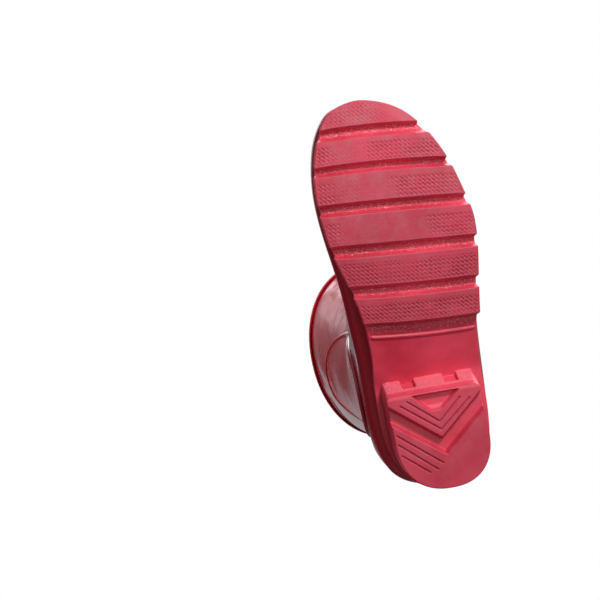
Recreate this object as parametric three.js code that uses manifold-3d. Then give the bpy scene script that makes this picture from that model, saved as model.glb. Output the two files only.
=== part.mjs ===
// A tall rubber rain boot for the left foot, standing on its sole.
// Millimetres, +Z up. The origin is the centre of the heel's tread on the ground.
// The toe points to -Y, the inner (medial) side of the foot faces -X and the outer side +X.
//
// The boot is built in layers round one body, the outer surface of the rubber shell. That body is
// lofted through sections that fan round the ankle, from upright at the toe to level at the
// collar. Every layer of the upper is the body grown or shrunk by a distance, less the same body
// at another distance, and cut to its outline seen from the side. The sole is built below the
// body's floor, from outlines seen from above and from the side.

import * as THREE from "three";
import { mergeVertices } from "three/addons/utils/BufferGeometryUtils.js";
import Module from "manifold-3d";

const wasm = await Module();
wasm.setup();

// ---- Driving dimensions ---------------------------------------------------------------------

const SOLE_LENGTH = 290; // back of the heel to the tip of the toe
const BALL_WIDTH = 108; // across the tread at the ball of the foot
const HEEL_WIDTH = 70; // across the heel's tread
const BOOT_HEIGHT = 378; // ground to the top of the collar
const SHAFT_GIRTH = 1.0; // fullness of the leg, 1 is a collar of about 150 by 110
const HEEL_HEIGHT = 22; // ground to the underside of the sole plate at the heel
const TOE_SPRING = 14; // how far the tread rises at the tip of the toe

const GAP = 0.3; // clearance between pieces that are bonded face to face
const SHELL = 2.4; // rubber of the foot and leg
const LINING = 1.0; // knitted lining
const OVERLAY = 1.3; // toe cap, heel counter, ankle patch, ankle strip and back stay
const FOXING = 2.4; // rubber strip round the sole's edge
const FOXING_HEIGHT = 17;
const BINDING = 1.8; // rolled strip over the collar's edge
const BINDING_HEIGHT = 13;
const SHANK = 1.6; // spring steel strip under the arch
const SHANK_WIDTH = 16;
const BOARD = 2.0; // fibre insole board
const FOOTBED = 4.0; // loose foam footbed
const FOOTBED_CLOTH = 0.8;

const BAR_DEPTH = 6; // height of the forefoot bars under the plate
const BAR_SKEW = 0.12; // the bars run this much towards the heel per unit to the outer side
const SIPE_WIDTH = 0.9; // fine grooves in the heel's tread
const SIPE_DEPTH = 1.2;
const CHANNEL_DEPTH = 6; // broad V channel across the heel
const PIT_DEPTH = 5; // triangular pit in front of it
const NOTCH_WIDTH = 10; // the two notches in the heel's front face
const NOTCH_DEPTH = 3.5;

const AROUND = 28; // facets round each section of the body
const OUTLINE_POINTS = 72;
const REACH = 400; // longer than the boot, for cutting prisms

// The tables below are drawn for these sizes, and are stretched to the sizes above.
const DRAWN = { length: 290, width: 108, heel: 70, height: 378 };
const stretchY = SOLE_LENGTH / DRAWN.length;
const stretchX = BALL_WIDTH / DRAWN.width;
const stretchHeel = HEEL_WIDTH / DRAWN.heel;
const HEEL_BACK = 42.5 * stretchY; // the heel's back edge, from the origin
const ANKLE_Z = 130; // above this, heights stretch with the shaft
const stretchZ = (BOOT_HEIGHT - ANKLE_Z) / (DRAWN.height - ANKLE_Z);
const raise = (z) => (z > ANKLE_Z ? ANKLE_Z + (z - ANKLE_Z) * stretchZ : z);

// ---- Curves seen from the side: heights along the boot ---------------------------------------

// A smooth height at y through [y, z] points that run from the toe (-Y) to the heel (+Y).
function heightAlong(points) {
  const ys = points.map(([y]) => y * stretchY);
  const zs = points.map(([, z]) => z);
  const last = points.length - 1;
  const slope = (i) => {
    const a = Math.max(i - 1, 0);
    const b = Math.min(i + 1, last);
    return (zs[b] - zs[a]) / (ys[b] - ys[a]);
  };
  return (y) => {
    const at = THREE.MathUtils.clamp(y, ys[0], ys[last]);
    let i = 0;
    while (i < last - 1 && at > ys[i + 1]) i++;
    const span = ys[i + 1] - ys[i];
    const t = (at - ys[i]) / span;
    const t2 = t * t;
    const t3 = t2 * t;
    return (
      (2 * t3 - 3 * t2 + 1) * zs[i] +
      (t3 - 2 * t2 + t) * span * slope(i) +
      (3 * t2 - 2 * t3) * zs[i + 1] +
      (t3 - t2) * span * slope(i + 1)
    );
  };
}

const SPRING_START = -150; // the tread is flat behind this, and curves up in front of it
const springAt = (y) => {
  const along = (SPRING_START * stretchY - y) / (100 * stretchY);
  return along > 0 ? TOE_SPRING * along * along : 0;
};
const PLATE_OVER_BARS = 7.5; // the body's floor over the bars' roots
const floorRise = heightAlong([
  [-252, 0],
  [-118, 0.5],
  [-80, 5.5],
  [-42, 12.5],
  [-5, HEEL_HEIGHT + 7 - BAR_DEPTH - PLATE_OVER_BARS],
  [52, HEEL_HEIGHT + 7 - BAR_DEPTH - PLATE_OVER_BARS],
]);
// The body's floor, on which the upper is lasted.
const floorAt = (y) => springAt(y) + BAR_DEPTH + PLATE_OVER_BARS + floorRise(y);
const plateRise = heightAlong([
  [-252, 0],
  [-88, 0],
  [-76, 2.5],
  [-52, 10],
  [-36, HEEL_HEIGHT - BAR_DEPTH],
  [52, HEEL_HEIGHT - BAR_DEPTH],
]);
// The underside of the sole plate, from which the bars and the heel hang.
const plateAt = (y) => springAt(y) + BAR_DEPTH + plateRise(y);

// ---- The body: the outer surface of the shell -------------------------------------------------

// Each section lies between a front point and a back point seen from the side. Rows hold
// front y, z, back y, z, reach to the inner side, reach to the outer side, height of the widest
// place as a share from back to front, and squareness of the front and back halves.
// A back z of null lies on the floor.
const SECTIONS = [
  [-246, 37, -246, 36, 16.5, -16.5, 0.4, 2.2, 3.0],
  [-244, 47, -244, null, 28.5, -1, 0.4, 2.2, 3.4],
  [-236.5, 57, -236.5, null, 37, 15, 0.38, 2.3, 4.2],
  [-220, 69, -219, null, 46, 32, 0.36, 2.3, 4.8],
  [-190, 81, -188, null, 52, 45, 0.34, 2.2, 5.2],
  [-157, 96, -153, null, 51, 52, 0.33, 2.1, 5.2],
  [-129, 113, -117, null, 47.5, 50.5, 0.33, 2.1, 5.0],
  [-109, 134, -80, null, 46.5, 47, 0.34, 2.1, 4.6],
  [-98, 156, -42, null, 46.5, 45.5, 0.35, 2.1, 4.4],
  [-92, 178, 0, null, 47.5, 44.5, 0.37, 2.1, 4.2],
  [-89, 200, 35, 32.5, 46.5, 44, 0.4, 2.1, 3.3],
  [-88, 218, 44, 56, 44.5, 43, 0.45, 2.1, 2.4],
  [-88, 236, 42.5, 105, 43, 42.5, 0.5, 2.1, 2.2],
  [-88.5, 262, 40, 165, 46, 44.5, 0.5, 2.1, 2.1],
  [-91, 300, 48, 240, 52, 50, 0.5, 2.1, 2.1],
  [-94, 340, 59, 315, 58, 55, 0.5, 2.1, 2.1],
  [-96, 378, 66, 378, 61, 57, 0.5, 2.1, 2.1],
];
const FLOOR_ROWS = [1, 9]; // these rows and those between them lie on the floor
const INSTEP_ROW = 7; // from this row on, the width follows the heel as well as the ball
const SWELL_FROM_ROW = 10; // after this row the shaft's fullness comes in,
const SWELL_ROWS = 4; // over this many rows
const LEG_BACK_Y = -22; // the shaft's middle, about which its depth swells
const ROW_STEPS = [2, 2, 1, 2, 1, 2, 1, 2, 2, 2, 2, 2, 1, 1, 1, 1];

const swellAt = (i) => {
  const share = THREE.MathUtils.clamp((i - SWELL_FROM_ROW) / SWELL_ROWS, 0, 1);
  return THREE.MathUtils.lerp(1, SHAFT_GIRTH, share);
};
const sideY = (y, i) => (LEG_BACK_Y + (y - LEG_BACK_Y) * swellAt(i)) * stretchY;
const widen = (i) => (i < INSTEP_ROW ? stretchX : (stretchX + stretchHeel) / 2);
const reachX = (x, i) => x * swellAt(i) * widen(i);
const rowCurve = (pick) => new THREE.CatmullRomCurve3(SECTIONS.map(pick), false, "catmullrom", 0.5);

const frontCurve = rowCurve(([y, z], i) => new THREE.Vector3(0, sideY(y, i), raise(z)));
const backCurve = rowCurve(([, , y, z], i) => {
  const at = sideY(y, i);
  return new THREE.Vector3(0, at, z === null ? floorAt(at) : raise(z));
});
const reachCurve = rowCurve((row, i) => new THREE.Vector3(reachX(row[4], i), reachX(row[5], i), row[6]));
const squareCurve = rowCurve((row) => new THREE.Vector3(row[7], row[8], 0));

const power = (value, exponent) => Math.sign(value) * Math.abs(value) ** exponent;

// The point of the body at share t of the way from toe to collar, at an angle round the section:
// 0 is the outer side, a quarter turn the front, a half turn the inner side.
function bodyPoint(t, angle) {
  const front = frontCurve.getPoint(t);
  const back = backCurve.getPoint(t);
  const row = t * (SECTIONS.length - 1);
  if (row > FLOOR_ROWS[0] && row < FLOOR_ROWS[1]) back.z = floorAt(back.y);
  const reach = reachCurve.getPoint(t);
  const square = squareCurve.getPoint(t);
  const middle = back.clone().lerp(front, reach.z);
  const ahead = Math.sin(angle) >= 0;
  const exponent = 2 / (ahead ? square.x : square.y);
  const end = ahead ? front : back;
  const point = middle.lerp(end, Math.abs(power(Math.sin(angle), exponent)));
  point.x = (reach.y - reach.x) / 2 + ((reach.y + reach.x) / 2) * power(Math.cos(angle), exponent);
  return point;
}

// The body's outward normal, from points a little to each side.
function bodyNormal(t, angle) {
  if (t === 0) return new THREE.Vector3(0, -1, 0);
  const step = 1e-3;
  const low = Math.max(t - step, 1e-4);
  const high = Math.min(t + step, 1);
  const along = bodyPoint(high, angle).sub(bodyPoint(low, angle));
  const round = bodyPoint(t, angle + step).sub(bodyPoint(t, angle - step));
  return along.cross(round).normalize();
}

const BODY_TOP = BOOT_HEIGHT + 20; // above every cut through the collar

// A closed solid: the body grown by a distance. It carries straight on above the collar to BODY_TOP.
function body(grown) {
  const shares = [];
  const rows = SECTIONS.length - 1;
  ROW_STEPS.forEach((steps, row) => {
    for (let k = 1; k <= steps; k++) shares.push((row + k / steps) / rows);
  });
  const positions = [];
  const put = (point) => positions.push(point.x, point.y, point.z);
  put(bodyPoint(0, 0).addScaledVector(bodyNormal(0, 0), grown));
  for (const t of shares) {
    for (let k = 0; k < AROUND; k++) {
      const angle = (k / AROUND) * 2 * Math.PI;
      put(bodyPoint(t, angle).addScaledVector(bodyNormal(t, angle), grown));
    }
  }
  const collar = positions.slice(-3 * AROUND);
  for (let k = 0; k < AROUND; k++) positions.push(collar[3 * k], collar[3 * k + 1], BODY_TOP);
  const topMiddle = bodyPoint(1, Math.PI / 2).lerp(bodyPoint(1, -Math.PI / 2), 0.5);
  positions.push(topMiddle.x, topMiddle.y, BODY_TOP);

  const index = [];
  const at = (ring, k) => 1 + ring * AROUND + (k % AROUND);
  const rings = shares.length + 1;
  for (let k = 0; k < AROUND; k++) {
    index.push(0, at(0, k), at(0, k + 1));
    for (let ring = 0; ring < rings - 1; ring++) {
      const [a, b] = [at(ring, k), at(ring, k + 1)];
      const [c, d] = [at(ring + 1, k), at(ring + 1, k + 1)];
      index.push(a, c, b, b, c, d);
    }
    index.push(at(rings - 1, k), 1 + rings * AROUND, at(rings - 1, k + 1));
  }
  const geometry = new THREE.BufferGeometry();
  geometry.setAttribute("position", new THREE.Float32BufferAttribute(positions, 3));
  geometry.setIndex(index);
  return solid(geometry);
}

// ---- Solids and prisms --------------------------------------------------------------------------

function solid(geometry) {
  const bare = geometry.clone();
  bare.deleteAttribute("normal");
  bare.deleteAttribute("uv");
  const merged = mergeVertices(bare, 1e-4);
  const made = new wasm.Manifold(
    new wasm.Mesh({
      numProp: 3,
      vertProperties: new Float32Array(merged.attributes.position.array),
      triVerts: new Uint32Array(merged.index.array),
    }),
  );
  if (made.volume() > 0) return made;
  const turned = new Uint32Array(merged.index.array);
  for (let i = 0; i < turned.length; i += 3) [turned[i + 1], turned[i + 2]] = [turned[i + 2], turned[i + 1]];
  return new wasm.Manifold(
    new wasm.Mesh({
      numProp: 3,
      vertProperties: new Float32Array(merged.attributes.position.array),
      triVerts: turned,
    }),
  );
}

function extrude(points, depth) {
  const shape = new THREE.Shape(points.map(([a, b]) => new THREE.Vector2(a, b)));
  return new THREE.ExtrudeGeometry(shape, { depth, bevelEnabled: false, steps: 1 });
}

// An outline of [x, y] points, upright from z low to z high.
function planPrism(points, low, high) {
  return solid(extrude(points, high - low).translate(0, 0, low));
}

// The same outline, upright through the whole boot.
const upright = (points) => planPrism(points, -REACH, REACH);

// An outline of [y, z] points seen from the side, across the boot from x low to x high.
function sidePrism(points, low = -REACH, high = REACH) {
  const turn = new THREE.Matrix4().makeBasis(
    new THREE.Vector3(0, 1, 0),
    new THREE.Vector3(0, 0, 1),
    new THREE.Vector3(1, 0, 0),
  );
  return solid(extrude(points, high - low).applyMatrix4(turn).translate(low, 0, 0));
}

const SIDE_STEPS = 27;
const SIDE_FROM = -262;
const SIDE_TO = 62;

// The band between two heights along the boot, across its whole width.
function sideBand(low, high, from = SIDE_FROM * stretchY, to = SIDE_TO * stretchY) {
  const ys = Array.from({ length: SIDE_STEPS + 1 }, (_, k) => from + ((to - from) * k) / SIDE_STEPS);
  return sidePrism([...ys.map((y) => [y, low(y)]), ...ys.reverse().map((y) => [y, high(y)])]);
}

// A smooth side outline through [y, z] points, left open: it joins its first and last point.
function smooth(points, steps = 14) {
  const curve = new THREE.SplineCurve(points.map(([y, z]) => new THREE.Vector2(y * stretchY, raise(z))));
  return curve.getPoints(steps).map((p) => [p.x, p.y]);
}

// ---- Outlines seen from above ---------------------------------------------------------------------

// The edge of the sole, from the back of the heel round the outer side to the toe and back.
const SOLE_EDGE = [
  [0, 44.5],
  [23, 38.5],
  [37, 22],
  [42, -4],
  [43, -38],
  [43.5, -62],
  [46.5, -84],
  [50.5, -108],
  [54.5, -132],
  [55.5, -153],
  [51.5, -174],
  [45, -198],
  [34, -221],
  [18.5, -239],
  [-2, -249],
  [-19, -250],
  [-36, -242.5],
  [-48, -221],
  [-54, -198],
  [-55, -175],
  [-52.5, -149],
  [-46, -122],
  [-41, -100],
  [-39.5, -80],
  [-39.5, -60],
  [-41.5, -38],
  [-42, -4],
  [-36.5, 22],
  [-22.5, 38.5],
];
const HEEL_Y = -45; // behind this the edge follows the heel's width

const soleCurve = new THREE.CatmullRomCurve3(
  SOLE_EDGE.map(([x, y]) => new THREE.Vector3(x * (y > HEEL_Y ? stretchHeel : stretchX), y * stretchY, 0)),
  true,
  "centripetal",
);

// The sole's edge moved outwards by a distance.
function soleOutline(grown) {
  return Array.from({ length: OUTLINE_POINTS }, (_, k) => {
    const t = k / OUTLINE_POINTS;
    const point = soleCurve.getPoint(t);
    const tangent = soleCurve.getTangent(t);
    return [point.x + tangent.y * -grown, point.y + tangent.x * grown];
  });
}

// ---- The sole ----------------------------------------------------------------------------------------

// Where each forefoot bar starts and ends along the boot's middle line, toe to heel.
const BARS = [
  [-262, -231.5],
  [-222.5, -204.5],
  [-197, -176],
  [-167, -144.5],
  [-135, -113.5],
  [-104, -85],
];
const BOW_MIDDLE = -150; // bar edges in front of this bow towards the toe, those behind it to the heel
const BOW = 1 / 30; // and this much more for each millimetre away from it
const BAR_EDGE_STEPS = 6;
const BAR_INSET = 1.6; // the plate's edge lies this far inside the bars' ends
const RIDGE_Y = -73; // the low ridge behind the last bar
const RIDGE_WIDTH = 2.2;
const RIDGE_HEIGHT = 1.2;
const RIDGE_INSET = 1; // the ridge ends this far inside the plate's edge
const ROOT = 1; // how far the bars and the ridge reach up into the plate
const CROSS_REACH = 0.7; // a line across the sole reaches this share of the ball's width to each side

// The line across the sole at y along the middle, as [x, y] points from -X to +X.
function crossLine(y) {
  const half = BALL_WIDTH * CROSS_REACH;
  const bow = (BOW_MIDDLE - y) * BOW * stretchY;
  return Array.from({ length: BAR_EDGE_STEPS + 1 }, (_, k) => {
    const share = (k / BAR_EDGE_STEPS) * 2 - 1;
    return [half * share, y * stretchY + BAR_SKEW * half * share + 2 * bow * share * share];
  });
}

const crossStrip = (from, to) => upright([...crossLine(from), ...crossLine(to).reverse()]);

function outsole() {
  const edge = upright(soleOutline(0));
  const treadBand = sideBand(springAt, (y) => plateAt(y) + ROOT);
  let made = upright(soleOutline(-BAR_INSET)).intersect(sideBand(plateAt, (y) => floorAt(y) - GAP));
  for (const [from, to] of BARS) {
    made = made.add(crossStrip(from, to).intersect(edge).intersect(treadBand));
  }
  const ridge = crossStrip(RIDGE_Y - RIDGE_WIDTH / 2, RIDGE_Y + RIDGE_WIDTH / 2)
    .intersect(upright(soleOutline(-BAR_INSET - RIDGE_INSET)))
    .intersect(sideBand((y) => plateAt(y) - RIDGE_HEIGHT, (y) => plateAt(y) + ROOT));
  return made.add(ridge).subtract(body(GAP));
}

// The heel's tread outline: straight sides, a round back and a front edge that runs a little askew.
const BREAST_Y = -32;
const BREAST_SKEW = 0.05;
const HEEL_ROUND_Y = 4; // the round back starts here
const HEEL_TAPER = 1; // how much wider the heel is at the plate than at the ground
const BREAST_DRAFT = 7.5; // how far the front face leans forward over its height
const HEEL_SQUARE = 0.86; // below 1 the round back is fuller than an ellipse
const HEEL_ARC_STEPS = 18;

function heelOutline(grown, breast) {
  const half = HEEL_WIDTH / 2 + grown;
  const start = HEEL_ROUND_Y * stretchY;
  const back = HEEL_BACK - start + grown;
  const points = [];
  for (let k = 0; k <= HEEL_ARC_STEPS; k++) {
    const angle = (k / HEEL_ARC_STEPS) * Math.PI;
    const x = half * power(Math.cos(angle), HEEL_SQUARE);
    points.push([x, start + back * power(Math.sin(angle), HEEL_SQUARE)]);
  }
  points.push([-half, breast - BREAST_SKEW * half], [half, breast + BREAST_SKEW * half]);
  return points;
}

// A solid between two outlines with the same number of points, one at each height.
function loft(lowOutline, lowZ, highOutline, highZ) {
  const geometry = extrude(lowOutline, highZ - lowZ).translate(0, 0, lowZ);
  const position = geometry.attributes.position;
  const nearest = (x, y) =>
    lowOutline.findIndex(([px, py]) => Math.abs(px - x) < 1e-3 && Math.abs(py - y) < 1e-3);
  for (let i = 0; i < position.count; i++) {
    if (position.getZ(i) < (lowZ + highZ) / 2) continue;
    const [x, y] = highOutline[nearest(position.getX(i), position.getY(i))];
    position.setXY(i, x, y);
  }
  return solid(geometry);
}

// A groove of a given width along a line of [x, y] points, from below the ground to a depth.
function groove(points, width, depth) {
  const half = width / 2;
  const shifted = (side) =>
    points.map(([x, y], i) => {
      const [ax, ay] = points[Math.max(i - 1, 0)];
      const [bx, by] = points[Math.min(i + 1, points.length - 1)];
      const length = Math.hypot(bx - ax, by - ay);
      return [x - (side * half * (by - ay)) / length, y + (side * half * (bx - ax)) / length];
    });
  return planPrism([...shifted(1), ...shifted(-1).reverse()], UNDER, depth);
}

// Outlines in the heel's tread: the V channel, the pit in front of it and the fine grooves.
const CHANNEL = [
  [-44, -34],
  [0, 4.5],
  [44, -31],
  [44, -19],
  [1, 16],
  [-44, -21],
];
const PIT = [
  [-15.5, -30.5],
  [18.5, -28.8],
  [3.8, -17.5],
  [-3.8, -17.5],
];
const SIPES = [
  [[-20.5, -27.6], [0.6, -8.2], [18.5, -23]],
  [[-26, -25.5], [0.6, -2.2], [25.5, -21]],
  [[-33, -4.5], [-3, 22.6]],
  [[-33, 2.5], [-8, 26.2]],
  [[-32, 11], [-14, 27.4]],
];
const NOTCH_X = [-15.5, 16.5];
const UNDER = -1; // cuts into the tread start this far below the ground
const heelScale = ([x, y]) => [x * stretchHeel, y * stretchY];
const underPlate = () => sideBand(() => UNDER, (y) => plateAt(y) - GAP);

// A notch in the upper half of the front face, round x.
function notch(x, breast) {
  const [left, right] = [x - NOTCH_WIDTH / 2, x + NOTCH_WIDTH / 2];
  const front = breast - 2 * BREAST_DRAFT;
  const back = breast + BREAST_SKEW * x - BREAST_DRAFT + NOTCH_DEPTH;
  const outline = [[left, front], [right, front], [right, back], [left, back]];
  return planPrism(outline, HEEL_HEIGHT / 2, REACH);
}

function heelBlock() {
  const breast = BREAST_Y * stretchY;
  const top = HEEL_HEIGHT + BAR_DEPTH; // above the plate, which trims it
  let made = loft(heelOutline(0, breast), 0, heelOutline(HEEL_TAPER, breast - BREAST_DRAFT), top);
  made = made.subtract(planPrism(CHANNEL.map(heelScale), UNDER, CHANNEL_DEPTH));
  made = made.subtract(planPrism(PIT.map(heelScale), UNDER, PIT_DEPTH));
  for (const line of SIPES) made = made.subtract(groove(line.map(heelScale), SIPE_WIDTH, SIPE_DEPTH));
  for (const x of NOTCH_X) made = made.subtract(notch(x * stretchHeel, breast));
  const plugHole = planPrism(plugOutline(0), HEEL_HEIGHT - PLUG_HEIGHT - GAP, REACH);
  return made.intersect(underPlate()).subtract(plugHole);
}

const PLUG_HEIGHT = 11;
const PLUG_RADIUS = 18;
const PLUG_Y = 6;
const PLUG_STEPS = 24;
const plugOutline = (inset) =>
  Array.from({ length: PLUG_STEPS }, (_, k) => {
    const angle = (k / PLUG_STEPS) * 2 * Math.PI;
    const radius = PLUG_RADIUS * stretchHeel - inset;
    return [radius * Math.cos(angle), PLUG_Y * stretchY + radius * Math.sin(angle)];
  });

const heelPlug = () =>
  planPrism(plugOutline(GAP), HEEL_HEIGHT - PLUG_HEIGHT, REACH).intersect(underPlate());

// ---- The upper ---------------------------------------------------------------------------------------

const over = (distance) => (y) => floorAt(y) + distance;
const slab = (low, high) =>
  planPrism([[-REACH, -REACH], [REACH, -REACH], [REACH, REACH], [-REACH, REACH]], low, high);
const skin = (outer, inner, top = BOOT_HEIGHT) =>
  body(outer).intersect(slab(-REACH, top)).subtract(body(inner));

const INNER = SHELL + GAP; // from the body's surface to the lining
const CAVITY = INNER + LINING; // from the body's surface to the hollow of the boot
const COLLAR_EDGE = BOOT_HEIGHT - BINDING - GAP; // where the shell and lining end, under the binding

// The joint between foot and leg, low at the heel and high over the instep, seen from the side.
const JOINT_LINE = [
  [90, 96],
  [30, 104],
  [-30, 122],
  [-80, 146],
  [-140, 172],
];
const JOINT_BACK_Y = JOINT_LINE[0][0] * stretchY;
const belowJoint = (lift) => {
  const line = smooth(JOINT_LINE.map(([y, z]) => [y, z + lift]));
  const frontZ = line[line.length - 1][1];
  return sidePrism([...line, [-REACH, frontZ], [-REACH, -REACH], [JOINT_BACK_Y, -REACH]]);
};

const footShell = () => skin(0, -SHELL).intersect(belowJoint(0));
const legShell = () => skin(0, -SHELL, COLLAR_EDGE).subtract(belowJoint(GAP));

// The guard on the inner side, over the ankle and the inside of the calf, seen from the side.
const PATCH_LINE = [
  [-25, 68],
  [-46, 74],
  [-60, 98],
  [-65, 150],
  [-58, 212],
  [-42, 262],
  [-22, 290],
  [-4, 299],
  [9, 288],
  [16, 250],
  [17, 170],
  [12, 98],
  [-4, 74],
];
const PATCH_MIDDLE = [-25, 150];
const PATCH_STEPS = 30;
const patchPrism = (grown) => {
  const middle = new THREE.Vector2(PATCH_MIDDLE[0] * stretchY, raise(PATCH_MIDDLE[1]));
  const line = smooth([...PATCH_LINE, PATCH_LINE[0]], PATCH_STEPS).slice(1);
  const moved = line.map(([y, z]) => {
    const out = new THREE.Vector2(y, z).sub(middle);
    return out.multiplyScalar(1 + grown / out.length()).add(middle).toArray();
  });
  return sidePrism(moved, -REACH, 0);
};
const anklePatch = () => skin(GAP + OVERLAY, GAP).intersect(patchPrism(0));

const STRIP_HALF = 5; // the ankle strip reaches this far above and below the joint
const ankleStrip = () =>
  skin(GAP + OVERLAY, GAP)
    .intersect(belowJoint(STRIP_HALF))
    .subtract(belowJoint(-STRIP_HALF))
    .subtract(patchPrism(3 * GAP));

const foxing = () =>
  body(GAP + FOXING)
    .subtract(body(GAP))
    .intersect(sideBand(over(0), over(FOXING_HEIGHT)));

const aboveFoxing = () => sideBand(over(FOXING_HEIGHT + GAP), () => REACH);

// The toe cap's rear edge and the heel counter's upper and front edge, seen from the side.
const TOE_CAP_LINE = [
  [-196, 100],
  [-205, 70],
  [-200, 45],
  [-182, 26],
  [-176, 0],
];
const toeCap = () =>
  skin(GAP + OVERLAY, GAP)
    .intersect(sidePrism([...smooth(TOE_CAP_LINE), [-REACH, 0], [-REACH, 100]]))
    .intersect(aboveFoxing());

const COUNTER_LINE = [
  [-34, 0],
  [-30, 40],
  [-12, 54],
  [10, 62],
  [30, 73],
  [60, 84],
];
const heelCounter = () => {
  const line = smooth(COUNTER_LINE);
  const topZ = line[line.length - 1][1];
  return skin(GAP + OVERLAY, GAP)
    .intersect(sidePrism([...line, [REACH, topZ], [REACH, 0]]))
    .intersect(aboveFoxing());
};

const BINDING_LOW = COLLAR_EDGE - BINDING_HEIGHT; // the binding's lower edge
const STAY_WIDTH = 16;
const backStay = () => {
  const half = STAY_WIDTH / 2;
  const outline = [[-half, 0], [half, 0], [half, REACH], [-half, REACH]];
  return skin(GAP + OVERLAY, GAP)
    .intersect(planPrism(outline, 0, BINDING_LOW - GAP))
    .subtract(belowJoint(STRIP_HALF + GAP));
};

// The binding is a channel over the top edges of the shell and the lining.
function topBinding() {
  const low = BINDING_LOW;
  const ring = (outer, inner, from, to) =>
    body(outer).subtract(body(inner)).intersect(slab(from, to));
  return ring(GAP + BINDING, -CAVITY - GAP - BINDING, low, BOOT_HEIGHT).subtract(
    ring(GAP, -CAVITY - GAP, low - 1, COLLAR_EDGE + GAP),
  );
}

// ---- Inside the boot -----------------------------------------------------------------------------------

// Heights over the body's floor of the layers inside, from the shell up.
const FLOOR_CLEARANCE = 0.5; // over the shell's inner face, whose facets stand in from the floor line
const SHANK_LOW = SHELL + GAP + FLOOR_CLEARANCE;
const BOARD_LOW = SHANK_LOW + SHANK + GAP;
const LINING_LOW = BOARD_LOW + BOARD + GAP;
const FOOTBED_LOW = LINING_LOW + LINING + GAP;
const CLOTH_LOW = FOOTBED_LOW + FOOTBED + GAP;

const layer = (low, high, inset = INNER) => body(-inset).intersect(sideBand(over(low), over(high)));

const SHANK_FROM = -104;
const SHANK_TO = 4;
const SHANK_END_STEPS = 8;

// The shank's outline: a strip with round ends, or the hole for it in the filler.
function shankOutline(grown) {
  const radius = SHANK_WIDTH / 2 + grown;
  const arc = (y, start) =>
    Array.from({ length: SHANK_END_STEPS + 1 }, (_, k) => {
      const angle = start + (k / SHANK_END_STEPS) * Math.PI;
      return [radius * Math.cos(angle), y + radius * Math.sin(angle)];
    });
  return [...arc(SHANK_TO * stretchY, 0), ...arc(SHANK_FROM * stretchY, Math.PI)];
}

const shankBand = () => sideBand(over(SHANK_LOW), over(SHANK_LOW + SHANK));
const shank = () => upright(shankOutline(0)).intersect(shankBand());
const filler = () => layer(SHANK_LOW, SHANK_LOW + SHANK).subtract(upright(shankOutline(GAP)));
const insoleBoard = () => layer(BOARD_LOW, BOARD_LOW + BOARD);
const footbed = () => layer(FOOTBED_LOW, FOOTBED_LOW + FOOTBED, CAVITY + GAP);
const footbedCloth = () => layer(CLOTH_LOW, CLOTH_LOW + FOOTBED_CLOTH, CAVITY + GAP);

// The foot's lining is a sock that stands on the insole board.
const footLining = () =>
  body(-INNER)
    .intersect(sideBand(over(LINING_LOW), () => REACH))
    .subtract(body(-CAVITY).intersect(sideBand(over(LINING_LOW + LINING), () => REACH + 1)))
    .intersect(belowJoint(0));
const legLining = () => skin(-INNER, -CAVITY, COLLAR_EDGE).subtract(belowJoint(GAP));

// ---- The boot --------------------------------------------------------------------------------------------

const finish = (color, roughness, metalness = 0) =>
  new THREE.MeshStandardMaterial({ color, roughness, metalness });
const soleRubber = finish(0xc2334a, 0.62);
const glossRubber = finish(0xa3101f, 0.12);
const overlayRubber = finish(0x9c0f1e, 0.14);
const knit = finish(0xd9d3cc, 0.95);
const foam = finish(0x55565a, 0.9);
const footbedFabric = finish(0x3b3d42, 0.95);
const fibreboard = finish(0xa98b63, 0.9);
const steel = finish(0x8c9094, 0.35, 1);
const cork = finish(0x9b7447, 0.95);

const PIECES = [
  ["outsole", outsole, soleRubber],
  ["heel_block", heelBlock, soleRubber],
  ["heel_plug", heelPlug, cork],
  ["foxing_band", foxing, soleRubber],
  ["foot_shell", footShell, glossRubber],
  ["leg_shell", legShell, glossRubber],
  ["toe_cap", toeCap, overlayRubber],
  ["heel_counter", heelCounter, overlayRubber],
  ["ankle_patch", anklePatch, overlayRubber],
  ["ankle_strip", ankleStrip, overlayRubber],
  ["back_stay", backStay, overlayRubber],
  ["top_binding", topBinding, overlayRubber],
  ["shank", shank, steel],
  ["sole_filler", filler, cork],
  ["insole_board", insoleBoard, fibreboard],
  ["foot_lining", footLining, knit],
  ["leg_lining", legLining, knit],
  ["footbed_foam", footbed, foam],
  ["footbed_cloth", footbedCloth, footbedFabric],
];

function geometryOf(made) {
  const mesh = made.getMesh();
  const geometry = new THREE.BufferGeometry();
  geometry.setAttribute("position", new THREE.BufferAttribute(mesh.vertProperties, 3));
  geometry.setIndex(new THREE.BufferAttribute(mesh.triVerts, 1));
  geometry.computeVertexNormals();
  return geometry;
}

const boot = new THREE.Group();
boot.name = "rain_boot_left";
for (const [name, make, material] of PIECES) {
  const mesh = new THREE.Mesh(geometryOf(make()), material);
  mesh.name = name;
  boot.add(mesh);
}

export default boot;
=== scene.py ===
"""Looks for the rubber rain boot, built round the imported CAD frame.

Sizes are in millimetres and become metres when a mesh is made. The upper's layers all follow
one surface, the body: sections that fan round the ankle from the toe to the collar. The sole
and the heel are grids inside their own outline, with the tread as a height field.
"""

import math

import bmesh
import bpy
import numpy as np
from mathutils import Matrix, Vector
from mathutils.kdtree import KDTree


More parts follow.
